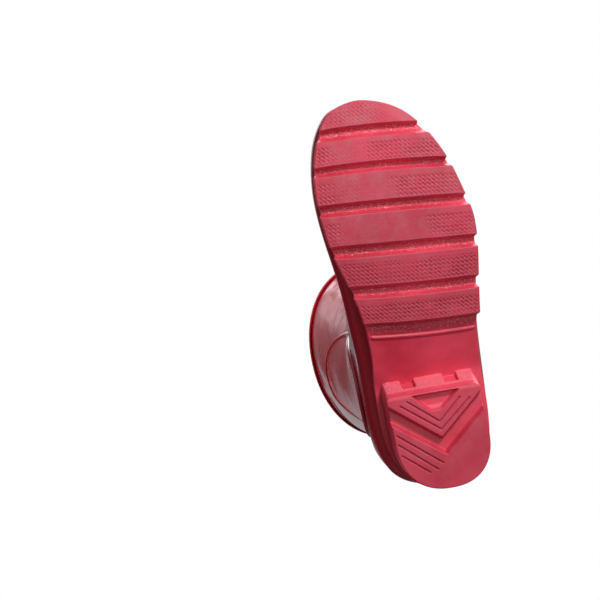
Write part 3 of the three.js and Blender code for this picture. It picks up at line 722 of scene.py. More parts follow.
def make_outsole():
    outline = closed_curve(SOLE_EDGE, 900)
    normal = outward(outline)
    v_outline = across(outline[:, 0], outline[:, 1])
    rows = sole_rows(v_outline.min() + 1e-3, v_outline.max() - 1e-3)
    full_left, full_right = scan_rows(outline, rows)
    inset = outline - normal * PLATE_INSET
    v_inset = across(inset[:, 0], inset[:, 1])
    inset_left, inset_right = scan_rows(inset, np.clip(rows, v_inset.min(), v_inset.max()))
    gather = smoothstep(v_inset.max() + 1, v_inset.max() - 12, rows)
    share = np.maximum(bar_share(rows), 1 - gather)
    left = inset_left + (full_left - inset_left) * share
    right = inset_right + (full_right - inset_right) * share
    x = spread(left, right, SOLE_COLUMNS, 1.6)
    v = np.broadcast_to(rows[:, None], x.shape)
    y = line_y(x, v)
    away = edge_distance(outline, np.stack([x, y], -1)) - (PLATE_INSET * (1 - share))[:, None]
    bar = bar_share(v)
    cut_and_shade, keep = zigzag(x, v)
    plate = plate_at(y)
    between_bars = (1 - bar) * smoothstep(-80, -90, v) * 1.2
    before_ridge = smoothstep(-84, -82, v) * smoothstep(-75, -77, v)
    # Groove floors and the strip before the ridge: real grit bumps in the height, and where painted
    # glints go.
    grit_and_glints = np.clip(between_bars + before_ridge, 0, 1) * smoothstep(1.2, 3.0, away)
    ridge = np.exp(-(((v - RIDGE_Y) / 1.25) ** 4)) * RIDGE_HEIGHT * smoothstep(0.8, 3.5, away)
    fine = flat_noise(x, y, 0.9, 0.9, 31) * 0.5 + flat_noise(x, y, 2.1, 2.1, 32) * 0.5
    z = plate + (spring_at(y) - plate) * bar - ridge
    z = z + GRIT_DEPTH * fine * grit_and_glints + ZIG_DEPTH * cut_and_shade * smoothstep(1.0, 3.0, away)
    z = z + 0.07 * flat_noise(x, y, 9, 7, 33)
    round_by = TREAD_ROUND * (0.35 + 0.65 * bar)
    z = z + round_by * (1 - rounded(np.maximum(away, 0), round_by))
    z = z + BAR_FLARE * (smoothstep(8, 0, away) * smoothstep(0.9, 1, bar))
    grid = np.stack([x, y, z], -1)

    edge = ring_round(*x.shape)
    base = grid.reshape(-1, 3)[edge]
    ring_bar = bar.ravel()[edge]
    near = nearest_of(outline, base[:, :2])[0]
    push = normal[near]
    depth = -np.einsum("ij,ij->i", base[:, :2] - outline[near], push)

    def ring(inward, height):
        return np.column_stack([base[:, :2] - push * (inward - depth)[:, None], height])

    step = np.minimum(depth, PLATE_INSET)
    inset_all = np.full(len(base), PLATE_INSET)
    base_z = base[:, 2]
    top = floor_at(base[:, 1]) - GAP
    low = np.maximum(plate_at(base[:, 1]) + 0.5, base_z + 0.15)
    walls = [
        ring(step, base_z + 0.35 * (low - base_z)),
        ring(step + 0.05, base_z + 0.75 * (low - base_z)),
        ring(step + 0.25 * ring_bar, low),
        ring(step + (PLATE_INSET - step) * 0.75, low + 0.35),
        ring(inset_all, low + 0.9),
        ring(inset_all + 0.1, low + 0.4 * (top - low)),
        ring(inset_all + 0.1, top - 0.5),
        ring(inset_all + 0.6, top),
    ]
    fresh = smoothstep(*FRESH, v)
    on_bars = smoothstep(0.85, 1, bar)
    rubbed = smoothstep(0.93, 1, bar) * (0.35 + 0.65 * np.clip(1 - keep, 0, 1))
    return moulded("sole_plate", grid, walls, {
        "grit_and_glints": grit_and_glints,
        # The zigzag value doubles as painted shade: stronger on the last bars, with a flat extra
        # darkening of their treads.
        "cut_and_shade": cut_and_shade * (1 + 0.9 * fresh) + 0.24 * fresh * on_bars,
        "tread": on_bars * (1 - 0.15 * fresh),
        "rub": rubbed * (1 - 0.6 * fresh),
    }, {})


# ---- The heel ----

BREAST_Y = -32
BREAST_SKEW = 0.05
BREAST_DRAFT = 7.5
BREAST_CHAMFER = 3.0
HEEL_ROUND_Y = 4
HEEL_SQUARE = 0.86
HEEL_CORNER = 3.5
HEEL_TAPER = 1.0
HEEL_EDGE = 0.9
HEEL_EASE = 2.5
CHANNEL_LINE = [(-44, -34), (0, 4.5), (44, -31), (44, -19), (1, 16), (-44, -21)]
CHANNEL_DEPTH = 6
PIT_LINE = [(-15.5, -30.5), (18.5, -28.8), (3.8, -17.5), (-3.8, -17.5)]
PIT_DEPTH = 5
SIPES = [
    [(-20.5, -27.6), (0.6, -8.2), (18.5, -23)],
    [(-26, -25.5), (0.6, -2.2), (25.5, -21)],
    [(-33, -4.5), (-3, 22.6)],
    [(-33, 2.5), (-8, 26.2)],
    [(-32, 11), (-14, 27.4)],
]
SIPE_DEPTH = 1.15
NOTCH_X = (-15.5, 16.5)
NOTCH_DEPTH = 3.5
HEEL_SHARES = np.concatenate([[0.03], np.linspace(0.08, 0.94, 24), [0.985, 1.0]])


def heel_edge(count):
    """The heel's tread outline, in coordinates where its front edge runs straight across."""
    back = HEEL_BACK - HEEL_ROUND_Y
    side = HEEL_HALF - HEEL_CORNER

    def corner(middle, low, high):
        return [(middle + HEEL_CORNER * math.cos(a),
                 BREAST_Y + HEEL_CORNER + HEEL_CORNER * math.sin(a))
                for a in np.linspace(low, high, 12)]

    points = []
    for angle in np.linspace(0, math.pi, 120):
        c, s = math.cos(angle), math.sin(angle)
        points.append((HEEL_HALF * math.copysign(abs(c) ** HEEL_SQUARE, c),
                       HEEL_ROUND_Y + back * abs(s) ** HEEL_SQUARE))
    points += corner(-side, math.pi, 1.5 * math.pi)
    points += [(x, BREAST_Y) for x in np.linspace(-side, side, 60)[1:-1]]
    points += corner(side, 1.5 * math.pi, TAU)
    loop = np.array(points)
    keep = np.linalg.norm(loop - np.roll(loop, 1, 0), axis=1) > 1e-6
    return evenly(loop[keep], count)


def heel_rows():
    near = BREAST_Y + 0.25 * np.arange(8)
    last = HEEL_BACK - 1e-3
    return np.concatenate([near, np.linspace(near[-1] + 0.38, last - HEEL_EASE, 178),
                           last - HEEL_EASE * (np.arange(13, -1, -1) / 14) ** 2])


def make_heel():
    outline = heel_edge(900)
    rows = heel_rows()
    left, right = scan_rows(outline, rows, skewed=False)
    on_breast = np.abs(outline[:, 1] - BREAST_Y) < 1e-3
    left[0], right[0] = outline[on_breast, 0].min(), outline[on_breast, 0].max()
    x = spread(left, right, 172, 1.2)
    w = np.broadcast_to(rows[:, None], x.shape)
    y = w + BREAST_SKEW * x
    away = edge_distance(outline, np.stack([x, w], -1))
    here = np.stack([x, y], -1)
    channel = ramp(inside_by(CHANNEL_LINE, here) + 0.9, 1.8, 0.35)
    pit = ramp(inside_by(PIT_LINE, here) + 0.6, 1.3, 0.3)
    step = smoothstep(-17.5, -21.5, y) * 0.35 + 0.65
    sipe = np.max([1 - smoothstep(0.25, 0.75, line_distance(line, here)) for line in SIPES], 0)
    sipe = sipe * smoothstep(1.0, 2.5, away)
    chamfer = np.clip(BREAST_CHAMFER - (w - BREAST_Y), 0, BREAST_CHAMFER) / BREAST_CHAMFER
    z = CHANNEL_DEPTH * channel + PIT_DEPTH * pit * step * (1 - channel)
    z = z + SIPE_DEPTH * sipe * (1 - channel) * (1 - pit)
    z = z + 1.3 * chamfer ** 1.5
    z = z + HEEL_EDGE * (1 - rounded(np.maximum(away, 0), HEEL_EDGE))
    z = z + 0.06 * flat_noise(x, y, 8, 8, 41)
    z = z + 0.7 * smoothstep(22, 42, y + 0.25 * x)
    z = np.minimum(z, 8)
    grid = np.stack([x, y, z], -1)

    edge = ring_round(*x.shape)
    base = grid.reshape(-1, 3)[edge]
    base_w = w.ravel()[edge]
    front = smoothstep(BREAST_Y + 4.5, BREAST_Y + 0.2, base_w)
    flat_front = smoothstep(0.98, 1.0, front)
    push = outward(outline)[nearest_of(outline, np.column_stack([base[:, 0], base_w]))[0]]
    top = plate_at(base[:, 1]) - GAP
    notch_x = np.max([smoothstep(5.4, 4.4, np.abs(base[:, 0] - at)) for at in NOTCH_X], 0)
    walls, breast_highlight = [], []
    for share in HEEL_SHARES:
        z_ring = base[:, 2] + (top - base[:, 2]) * share
        moved = base[:, :2] + push * (HEEL_TAPER * share)
        lean = -BREAST_DRAFT * share * front
        notch = notch_x * smoothstep(9.6, 11.2, z_ring) * flat_front
        rough = flat_front * smoothstep(0.16, 0.26, share) * (1 - notch)
        bumps = flat_noise(base[:, 0], z_ring, 1.1, 1.1, 51)
        y_ring = moved[:, 1] + lean + NOTCH_DEPTH * notch + 0.2 * bumps * rough
        walls.append(np.column_stack([moved[:, 0], y_ring, z_ring]))
        breast_highlight.append(rough)
    rub = (1 - channel) * (1 - pit) * smoothstep(0.5, 3, away)
    breast_highlight = np.array(breast_highlight)
    # The rough band of the breast gets a painted highlight tint (pale) and painted glints, as if it
    # faced the light.
    return moulded("heel", grid, walls, {
        "grit_and_glints": np.zeros_like(x),
        # painted shade in the sipes
        "cut_and_shade": sipe * 0.8,
        "tread": 0.7 * (1 - np.maximum(channel, pit)),
        "rub": 0.5 * rub,
        "pale": np.zeros_like(x),
    }, {"grit_and_glints": breast_highlight * 0.7, "pale": breast_highlight})


# ---- The upper ----

JOINT_LINE = [(-140, 172), (-80, 146), (-30, 122), (30, 104), (90, 96)]
STRIP_HALF = 5
STAY_HALF = 8
PATCH_LINE = [
    (-25, 68), (-46, 74), (-60, 98), (-65, 150), (-58, 212), (-42, 262), (-22, 290), (-4, 299),
    (9, 288), (16, 250), (17, 170), (12, 98), (-4, 74),
]
PATCH_MIDDLE = np.array([-22.0, 180.0])
PATCH_RIM = np.array([0.8, 0.62, 0.46, 0.32, 0.2, 0.1, 0.04, 0.0])
TOE_CAP_LINE = [(-210, 130), (-196, 100), (-205, 70), (-200, 45), (-182, 26), (-176, 0)]
COUNTER_TOP = [(-34, 0), (-30, 40), (-12, 54), (10, 62), (30, 73), (60, 84)]
COUNTER_FRONT = -28.5
ABOVE_FOXING = FOXING_HEIGHT + GAP
AROUND = 264
LINING_LOW = 7.4
FOOTBED_LOW = 8.7
FOOTBED = 4.0
CLOTH = 0.8
CLOTH_CLEARANCE = 0.06
FOOTBED_INSET = 4.3

joint_z = height_along(JOINT_LINE)
counter_z = height_along(COUNTER_TOP)
round_angles = np.arange(AROUND) / AROUND * TAU


def off_joint(points):
    return points[..., 2] - joint_z(points[..., 1])


def joint_share(angles, above=0):
    """The share t at which the body passes the joint of foot and leg, or a line above it."""
    return crossing(angles, lambda p: off_joint(p) - above, low=0.2, last=True)


def tube(name, t_low, t_high, outer, inner, count, floors=None):
    """A skin round the body between two lines, from one distance off it to another."""
    t = t_low + (t_high - t_low) * np.linspace(0, 1, count)[:, None]
    angle = np.broadcast_to(round_angles, t.shape)
    sheets = [body(t, angle, grown) for grown in (outer, inner)]
    if floors:
        for sheet, height in zip(sheets, floors):
            sheet[..., 2] = np.maximum(sheet[..., 2], floor_at(sheet[..., 1]) + height)
    return two_sided(name, *sheets, wrap=True)


def make_shells():
    foot = np.full(AROUND, 4e-4), joint_share(round_angles)
    leg = joint_share(round_angles, GAP), at_height(round_angles, COLLAR_EDGE)
    lining_floors = (LINING_LOW, LINING_LOW + LINING)
    return [
        tube("foot_rubber", *foot, 0.0, -SHELL, 150),
        tube("leg_rubber", *leg, 0.0, -SHELL, 150),
        tube("lining_foot", *foot, -INNER, -CAVITY, 110, lining_floors),
        tube("lining_leg", *leg, -INNER, -CAVITY, 120),
    ]


BINDING_OUT = 2.1
BINDING_IN = -5.8
BINDING_LEAN = 1.3
BINDING_ROUND = 2.6


def binding_profile(low, top):
    """Distance off the body and height of points round the binding's cross-section."""
    out, wall = BINDING_OUT, BINDING_IN + BINDING
    profile = [(0.35, low + 0.5), (1.0, low), (1.6, low + 0.2), (out - 0.1, low + 0.9)]
    profile += [(out - BINDING_LEAN * share, low + 2 + (top - 5 - low) * share)
                for share in np.linspace(0, 1, 7)]
    middle = (out - BINDING_LEAN + BINDING_IN) / 2
    half = (out - BINDING_LEAN - BINDING_IN) / 2
    profile += [(middle + half * math.cos(a), top - BINDING_ROUND + BINDING_ROUND * math.sin(a))
                for a in np.linspace(0.15, math.pi - 0.15, 11)]
    profile += [(BINDING_IN, z) for z in np.linspace(top - 3, low + 2, 7)]
    profile += [(BINDING_IN + 0.1, low + 0.9), (BINDING_IN + 0.6, low + 0.2),
                (BINDING_IN + 1.2, low), (wall, low + 0.5)]
    profile += [(wall, z) for z in np.linspace(low + 3, top - 3.2, 4)]
    profile += [(wall + 0.6, top - BINDING - 0.1), (GAP - 0.6, top - BINDING - 0.1)]
    return profile + [(0.35, z) for z in np.linspace(top - 3.2, low + 3, 4)]


def make_binding():
    """The strip folded over the collar, thick and soft at its edge, with a row of small dents."""
    top = BOOT_HEIGHT
    low = top - BINDING_HEIGHT - 2.1
    angles = np.arange(300) / 300 * TAU
    rows = []
    for grown, z in binding_profile(low, top):
        point = body(at_height(angles, min(z, top - 0.02)), angles, grown)
        dented = low + 3 < z < top - 4 and grown > 1.5
        dent = 0.12 * np.sin(angles * 90) * dented
        point[:, 2] = z
        point[:, 0] += dent * np.cos(angles)
        point[:, 1] -= dent * np.sin(angles)
        rows.append(point)
    grid = np.array(rows)
    count, columns = grid.shape[:2]
    r, c = np.arange(count)[:, None], np.arange(columns)[None, :]
    nxt, above, here = (c + 1) % columns, (r + 1) % count * columns, r * columns
    faces = np.stack([here + c, here + nxt, above + nxt, above + c], -1).reshape(-1, 4)
    return make_object("collar_binding", grid.reshape(-1, 3), [faces], merge=0.02)


def make_toe_cap():
    cap_y, cap_z = np.array(sorted(TOE_CAP_LINE, key=lambda p: p[1]), float).T
    angles = np.linspace(-0.55, math.pi + 0.55, 300)
    low = crossing(angles, lambda p: p[..., 2] - floor_at(p[..., 1]) - ABOVE_FOXING,
                   high=0.5, steps=400)
    high = crossing(angles, lambda p: p[..., 1] - np.interp(p[..., 2], cap_z, cap_y),
                    low=0.005, high=0.5, steps=400)
    good = ~np.isnan(low) & ~np.isnan(high) & (high > low + 0.004)
    middle = len(angles) // 2
    start = middle - np.argmin(good[middle::-1]) + 1
    stop = middle + np.argmin(good[middle:])
    low, high, angles = (values[start:stop] for values in (low, high, angles))
    kernel = np.ones(5) / 5
    for _ in range(3):
        high[2:-2] = np.convolve(high, kernel, "valid")
    return strip_between("toe_guard", angles, low, high, 74)


def sole_stations(count):
    outline = closed_curve(SOLE_EDGE, count)
    return outline, outward(outline)


def wall_grid(stations, normals, heights):
    """(t, angle) of the body above each station of the sole's outline, at heights over the
    ground."""
    tangent = np.stack([-normals[:, 1], normals[:, 0]], -1)
    spots = np.broadcast_to(stations, heights.shape + (2,))
    target = np.concatenate([spots, heights[..., None]], -1)
    t, angle = nearest_on_body(target, np.ones(3), lambda p, share: p[:, 2] < 130)

    def residual(points):
        flat = points[..., :2]
        along = np.einsum("...k,...k->...", flat - stations, np.broadcast_to(tangent, flat.shape))
        return np.stack([along, points[..., 2] - heights], -1)

    return settle(t, angle, residual)


def make_foxing():
    stations, normals = sole_stations(560)
    base = floor_at(stations[:, 1])
    rises = FOXING_HEIGHT * edge_spaced(10, FOXING_HEIGHT, 1.6, 6)
    heights = base[None, :] + rises[:, None] + 0.02
    t, angle = wall_grid(stations, normals, heights)
    near = np.broadcast_to(np.minimum(rises + 0.4, FOXING_HEIGHT - rises)[:, None], t.shape)
    groove = 0.16 * (smoothstep(0.35, 0.75, np.abs(rises - 3.6)) - 1)[:, None]
    outer = body(t, angle, GAP + 0.2 + (FOXING - 0.2) * rounded(near, 1.6) + groove)
    inner = body(t, angle, GAP)
    for sheet in (outer, inner):
        sheet[..., 2] = np.minimum(sheet[..., 2], heights + 1.5)
        sheet[..., 2] = np.maximum(sheet[..., 2], base + 0.02)
    return two_sided("foxing", outer, inner, True)


def make_counter():
    outline, normals = sole_stations(900)
    order = (np.argmax(outline[:, 1]) + np.arange(-450, 450)) % 900
    outline, normals = outline[order], normals[order]
    top = counter_z(outline[:, 1])
    bottom = floor_at(outline[:, 1]) + ABOVE_FOXING
    good = (outline[:, 1] > COUNTER_FRONT) & (top > bottom + 1.2)
    outline, normals, top, bottom = (values[good] for values in (outline, normals, top, bottom))
    heights = bottom + (top - bottom) * edge_spaced(26, 30, 2.0, 6)[:, None]
    t, angle = wall_grid(outline, normals, heights)
    near = np.minimum(heights - bottom, top - heights)
    near = np.minimum(near, from_ends(section_point(t, angle)))
    return layer("heel_guard", t, angle, overlay_face(near, 2.0))


def make_patch():
    edge = closed_curve(PATCH_LINE, 260)
    rings = np.concatenate([np.linspace(0.012, 0.9, 44), 1 - 0.1 * PATCH_RIM])
    spots = PATCH_MIDDLE + (edge - PATCH_MIDDLE)[None, :, :] * rings[:, None, None]
    target = np.concatenate([np.full(spots.shape[:2] + (1,), -50.0), spots], -1)
    t, angle = nearest_on_body(target, np.array([0.15, 1.0, 1.0]),
                               lambda p, share: (p[:, 0] < -5) & (share > 0.3))
    t, angle = settle(t, angle, lambda p: p[..., 1:] - spots)
    near = np.linalg.norm(spots - edge, axis=-1)
    raised = 0.9 * np.exp(-(((near - 2.6) / 1.5) ** 2))
    outer = body(t, angle, overlay_face(near, 1.6) + raised)
    return disc("calf_patch", outer, body(t, angle, GAP))


def disc(name, outer, inner):
    """A closed sheet from two sets of rings, each filled in the middle."""
    rows, columns = outer.shape[:2]
    count = rows * columns
    points = np.concatenate([outer.reshape(-1, 3), inner.reshape(-1, 3),
                             outer[:1].mean(1), inner[:1].mean(1)])
    faces = [grid_faces(rows, columns, True), grid_faces(rows, columns, True, count, True)]
    last = (rows - 1) * columns + np.arange(columns)
    faces.append(rim(last, last + count, True, True))
    first = np.arange(columns)
    turn = np.roll(first, -1)
    faces.append(np.stack([first, turn, np.full(columns, 2 * count)], 1))
    faces.append(np.stack([turn + count, first + count, np.full(columns, 2 * count + 1)], 1))
    return make_object(name, points, faces, merge=0.01)


def under_patch(points, grown):
    edge = closed_curve(PATCH_LINE, 200)
    edge = edge + outward(edge) * grown
    return (inside_by(edge, points[..., 1:]) > 0) & (points[..., 0] < 0)


def make_ankle_strip():
    count = 720
    angles = np.arange(count) / count * TAU
    covered = under_patch(section_point(joint_share(angles), angles), 1.6)
    open_at = np.flatnonzero(~covered & np.roll(covered, 1))[0]
    order = (open_at + np.arange((~covered).sum())) % count
    angles = angles[order]
    angles = np.where(angles < angles[0] - 1e-9, angles + TAU, angles)
    low, high = joint_share(angles, -STRIP_HALF), joint_share(angles, STRIP_HALF)
    return strip_between("ankle_band", angles, low, high, 12)


def make_back_stay():
    xs = STAY_HALF * np.sin(np.linspace(-math.pi / 2, math.pi / 2, 26))
    low = joint_z(np.float64(44)) + STRIP_HALF + GAP
    top = BOOT_HEIGHT - BINDING_HEIGHT - 2.4
    zs = low + (top - low) * edge_spaced(120, top - low, 1.6, 5)
    x, z = np.meshgrid(xs, zs)
    target = np.stack([x, np.full(x.shape, 50.0), z], -1)
    t, angle = nearest_on_body(target, np.array([1.0, 0.3, 1.0]), lambda p, share: p[:, 1] > 20)
    t, angle = settle(t, angle, lambda p: np.stack([p[..., 0] - x, p[..., 2] - z], -1))
    near = np.minimum(STAY_HALF - np.abs(x), np.minimum(z - low, top - z))
    stitched = 0.25 * np.exp(-(((np.abs(x) - 4.6) / 0.45) ** 2))
    return layer("back_stay_strip", t, angle, overlay_face(near, 1.6) - stitched)


# ---- Inside ----

def make_footbed():
    """The loose foam footbed, dished by the heel and the ball of the foot, and its cloth."""
    stations, normals = sole_stations(240)
    heights = floor_at(stations[:, 1])[None, :] + FOOTBED_LOW + 0.5
    t, angle = wall_grid(stations, normals, heights)
    outline = softened(body(t, angle, -FOOTBED_INSET, creased=False)[0, :, :2], 4)
    low, high = outline[:, 1].min(), outline[:, 1].max()
    share = (1 - np.cos(np.linspace(0, math.pi, 190))) / 2
    rows = low + (high - low) * (0.35 * share + 0.65 * np.linspace(0, 1, 190))
    rows = np.clip(rows, low + 1e-3, high - 1e-3)
    left, right = scan_rows(outline, rows, skewed=False)
    x = spread(left, right, 54, 1.8)
    y = np.broadcast_to(rows[:, None], x.shape)
    away = np.maximum(edge_distance(outline, np.stack([x, y], -1)), 0)
    pressed = 0.55 * np.exp(-((x / 24) ** 2) - ((y - 8) / 26) ** 2)
    pressed = pressed + 0.5 * np.exp(-(((x + 3) / 34) ** 2) - ((y + 150) / 26) ** 2)
    base = floor_at(y)
    edge = rounded(away, 1.5)

    def sheet(height):
        return np.stack([x, y, base + height], -1)

    foam_top = FOOTBED_LOW + FOOTBED * (0.3 + 0.7 * edge) - pressed
    foam_top = foam_top + 0.08 * flat_noise(x, y, 14, 14, 61)
    foam_low = FOOTBED_LOW + 0.9 * (1 - edge)
    cloth_low = foam_top + CLOTH_CLEARANCE
    cloth_top = cloth_low + CLOTH * (0.3 + 0.7 * rounded(away, 0.9))
    foam = two_sided("footbed_pad", sheet(foam_top), sheet(foam_low), False)
    cloth = two_sided("footbed_cover", sheet(cloth_top), sheet(cloth_low), False)
    return foam, cloth


# ---- Materials ----

def linear(red, green, blue, alpha=1.0):
    def one(value):
        value /= 255
        return value / 12.92 if value <= 0.04045 else ((value + 0.055) / 1.055) ** 2.4
    return (one(red), one(green), one(blue), alpha)


class Shader:
    """A material whose nodes are added by name."""

    def __init__(self, name, **constants):
        self.material = bpy.data.materials.new(name)
        self.material.use_nodes = True
        self.tree = self.material.node_tree
        self.surface = self.tree.nodes["Principled BSDF"]
        for key, value in constants.items():
            self.surface.inputs[key.replace("_", " ")].default_value = value
        self.place = self.tree.nodes.new("ShaderNodeTexCoord").outputs["Object"]

    def node(self, kind, inputs=None, **settings):
        made = self.tree.nodes.new("ShaderNode" + kind)
        for key, value in settings.items():
            setattr(made, key, value)
        for key, value in (inputs or {}).items():
            self.feed(made.inputs[key], value)
        return made

    def feed(self, socket, value):
        if isinstance(value, bpy.types.NodeSocket):
            self.tree.links.new(value, socket)
        else:
            socket.default_value = value

    def stretched(self, scale):
        return self.node("Mapping", {"Vector": self.place, "Scale": scale}).outputs["Vector"]

    def noise(self, scale, detail=3.0, rough=0.55, vector=None):
        return self.node("TexNoise", {"Vector": vector or self.place, "Scale": scale,
                                      "Detail": detail, "Roughness": rough}).outputs["Fac"]

    def cells(self, scale):
        return self.node("TexVoronoi", {"Vector": self.place, "Scale": scale}).outputs["Distance"]

    def threads(self, scale, along):
        return self.node("TexWave", {"Vector": self.place, "Scale": scale, "Distortion": 0.6},
                         bands_direction=along).outputs["Fac"]

    def remap(self, value, low, high, out_low=0.0, out_high=1.0):
        return self.node("MapRange", {"Value": value, "From Min": low, "From Max": high,
                                      "To Min": out_low, "To Max": out_high}).outputs["Result"]

    def maths(self, operation, a, b=0.0):
        return self.node("Math", {0: a, 1: b}, operation=operation).outputs[0]

    def times(self, a, b):
        return self.maths("MULTIPLY", a, b)

    def mix(self, amount, a, b):
        made = self.node("Mix", data_type="RGBA")
        for index, value in ((0, amount), (6, a), (7, b)):
            self.feed(made.inputs[index], value)
        return made.outputs[2]

    def attribute(self, name):
        return self.node("Attribute", attribute_name=name).outputs["Fac"]

    def bump(self, height, distance, strength=1.0, normal=None):
        inputs = {"Height": height, "Distance": distance, "Strength": strength}
        if normal:
            inputs["Normal"] = normal
        return self.node("Bump", inputs).outputs["Normal"]

    def connect(self, **values):
        for key, value in values.items():
            self.feed(self.surface.inputs[key.replace("_", " ")], value)
        return self.material


def sole_rubber():
    """Matt rubber, greyed and dusty where rubbed, painted shade in the cuts, gritty between with
    painted glints, a painted highlight on the heel's breast.
    """
    s = Shader("sole_rubber_look", Specular_IOR_Level=0.5)
    grit_and_glints, cut_and_shade, rub, tread, pale = map(s.attribute, ("grit_and_glints", "cut_and_shade", "rub", "tread", "pale"))
    slow = s.remap(s.noise(16, 4), 0.36, 0.64)
    fine = s.noise(900, 4)
    dust = s.remap(s.noise(60, 5, 0.7), 0.42, 0.68)
    dirt = s.remap(s.noise(35, 6, 0.65), 0.55, 0.75)
    # Bright pink specks on the grit and on the heel's breast are painted glints.
    painted_glint = s.times(s.remap(s.noise(760, 2, 0.6), 0.57, 0.68), grit_and_glints)
    dark = s.times(s.remap(s.noise(820, 3, 0.6), 0.5, 0.36), grit_and_glints)
    plain = s.mix(slow, linear(198, 44, 66), linear(226, 68, 92))
    greyed = s.mix(slow, linear(178, 42, 63), linear(198, 57, 79))
    colour = s.mix(s.times(tread, 0.8), plain, greyed)
    for amount, share, over in (
        (s.times(rub, dust), 0.34, linear(172, 112, 120)),
        (dirt, 0.26, linear(128, 30, 50)),
        # painted shade in the zigzag grooves and the heel's sipes
        (cut_and_shade, 0.58, linear(134, 18, 42)),
        # painted highlight tint on the heel's breast
        (pale, 0.4, linear(244, 132, 146)),
        (dark, 0.18, linear(160, 24, 52)),
        # painted glints
        (painted_glint, 0.6, linear(244, 168, 176)),
    ):
        colour = s.mix(s.times(amount, share), colour, over)
    rough = s.remap(slow, 0.3, 0.7, 0.4, 0.52)
    rough = s.maths("ADD", rough, s.times(tread, 0.14))
    rough = s.maths("SUBTRACT", rough, s.times(painted_glint, 0.25))
    grain = s.bump(fine, 0.00009, 0.6)
    pitted = s.bump(s.times(s.noise(700, 3, 0.7), grit_and_glints), 0.0006, 0.9, grain)
    return s.connect(Base_Color=colour, Roughness=rough, Normal=pitted)


def gloss_rubber(name, light, deep, coat, coat_rough):
    """Dipped rubber under a coat of lacquer, softly rippled, with faint upright scuffs."""
    s = Shader(name, Coat_Weight=coat, Coat_Roughness=coat_rough, Coat_IOR=1.4,
               Specular_IOR_Level=0.35)
    slow = s.noise(9, 3)
    scuffs = s.remap(s.noise(120, 6, 0.7, s.stretched((1.0, 1.0, 0.14))), 0.66, 0.74)
    colour = s.mix(slow, linear(*light), linear(*deep))
    colour = s.mix(s.times(scuffs, 0.18), colour, linear(214, 120, 128))
    rough = s.remap(slow, 0.25, 0.75, 0.2, 0.34)
    rough = s.maths("ADD", rough, s.times(scuffs, 0.25))
    ripple = s.bump(s.noise(26, 2, 0.4), 0.0016, 0.6)
    orange_peel = s.bump(s.noise(420, 2), 0.00005, 0.15, ripple)
    return s.connect(Base_Color=colour, Roughness=rough, Normal=orange_peel, Coat_Normal=ripple)


def knit():
    """Jersey: loops in columns that run up the leg, counted by the angle round it."""
    loops_round, loops_up, wale_rise = 190.0, 3900.0, 0.0007
    s = Shader("knit_look", Sheen_Weight=0.35, Sheen_Roughness=0.6)
    parts = s.node("SeparateXYZ", {"Vector": s.place})
    x, y, z = (parts.outputs[axis] for axis in "XYZ")
    turn = s.maths("ARCTAN2", x, s.maths("ADD", y, 0.02))
    columns = s.maths("SINE", s.times(turn, loops_round))
    wale = s.times(s.maths("ABSOLUTE", columns), wale_rise)
    rows = s.maths("SINE", s.times(s.maths("ADD", z, wale), loops_up))
    loops = s.remap(s.maths("ADD", columns, rows), -1.6, 1.8)
    worn_in = s.times(s.remap(s.noise(20, 4), 0.45, 0.7), 0.35)
    colour = s.mix(loops, linear(190, 184, 176), linear(232, 228, 220))
    colour = s.mix(worn_in, colour, linear(176, 164, 156))
    return s.connect(Base_Color=colour, Roughness=0.92, Normal=s.bump(loops, 0.0005, 0.8))


def foam():
    s = Shader("foam_look")
    holes = s.cells(900)
    colour = s.mix(s.remap(holes, 0.1, 0.5), linear(62, 64, 66), linear(104, 106, 108))
    return s.connect(Base_Color=colour, Roughness=0.95, Normal=s.bump(holes, 0.0004, 0.7))


def footbed_fabric():
    s = Shader("footbed_fabric_look", Sheen_Weight=0.3, Sheen_Roughness=0.5)
    weave = s.maths("MAXIMUM", s.threads(500.0, "X"), s.threads(500.0, "Y"))
    worn_in = s.times(s.remap(s.noise(25, 4), 0.4, 0.7), 0.4)
    colour = s.mix(weave, linear(58, 60, 64), linear(112, 114, 120))
    colour = s.mix(worn_in, colour, linear(140, 138, 136))
    return s.connect(Base_Color=colour, Roughness=0.9, Normal=s.bump(weave, 0.0003, 0.8))


def cork():
    s = Shader("cork_look")
    grains = s.cells(420)
    colour = s.mix(s.remap(grains, 0.1, 0.6), linear(120, 84, 52), linear(196, 158, 112))
    colour = s.mix(s.remap(s.noise(300, 3), 0.55, 0.7), colour, linear(92, 60, 38))
    return s.connect(Base_Color=colour, Roughness=0.85, Normal=s.bump(grains, 0.0006, 0.6))


def steel():
    s = Shader("spring_steel_look", Metallic=1.0)
    lines = s.noise(700, 3, 0.5, s.stretched((1.0, 0.03, 1.0)))
    colour = s.mix(lines, linear(150, 152, 156), linear(196, 198, 202))
    rough = s.remap(lines, 0.3, 0.7, 0.24, 0.42)
    return s.connect(Base_Color=colour, Roughness=rough, Normal=s.bump(lines, 0.0001, 0.4))


def board():
    s = Shader("fibreboard_look")
    fibre = s.noise(500, 5, 0.7, s.stretched((1.0, 0.25, 1.0)))
    colour = s.mix(s.remap(fibre, 0.35, 0.65), linear(156, 128, 92), linear(204, 178, 138))
    return s.connect(Base_Color=colour, Roughness=0.88, Normal=s.bump(fibre, 0.0003, 0.6))


LOOKS = {
    "sole_rubber": sole_rubber(),
    "gloss_rubber": gloss_rubber("gloss_rubber_look", (186, 20, 38), (164, 12, 30), 0.9, 0.07),
    "overlay_rubber": gloss_rubber("overlay_rubber_look", (184, 24, 42), (162, 16, 36), 0.55, 0.14),
    "foxing_rubber": gloss_rubber("foxing_look", (180, 26, 44), (160, 18, 38), 0.35, 0.2),
    "knit_lining": knit(),
    "foam": foam(),
    "footbed_fabric": footbed_fabric(),
    "cork": cork(),
    "spring_steel": steel(),
    "fibreboard": board(),
}


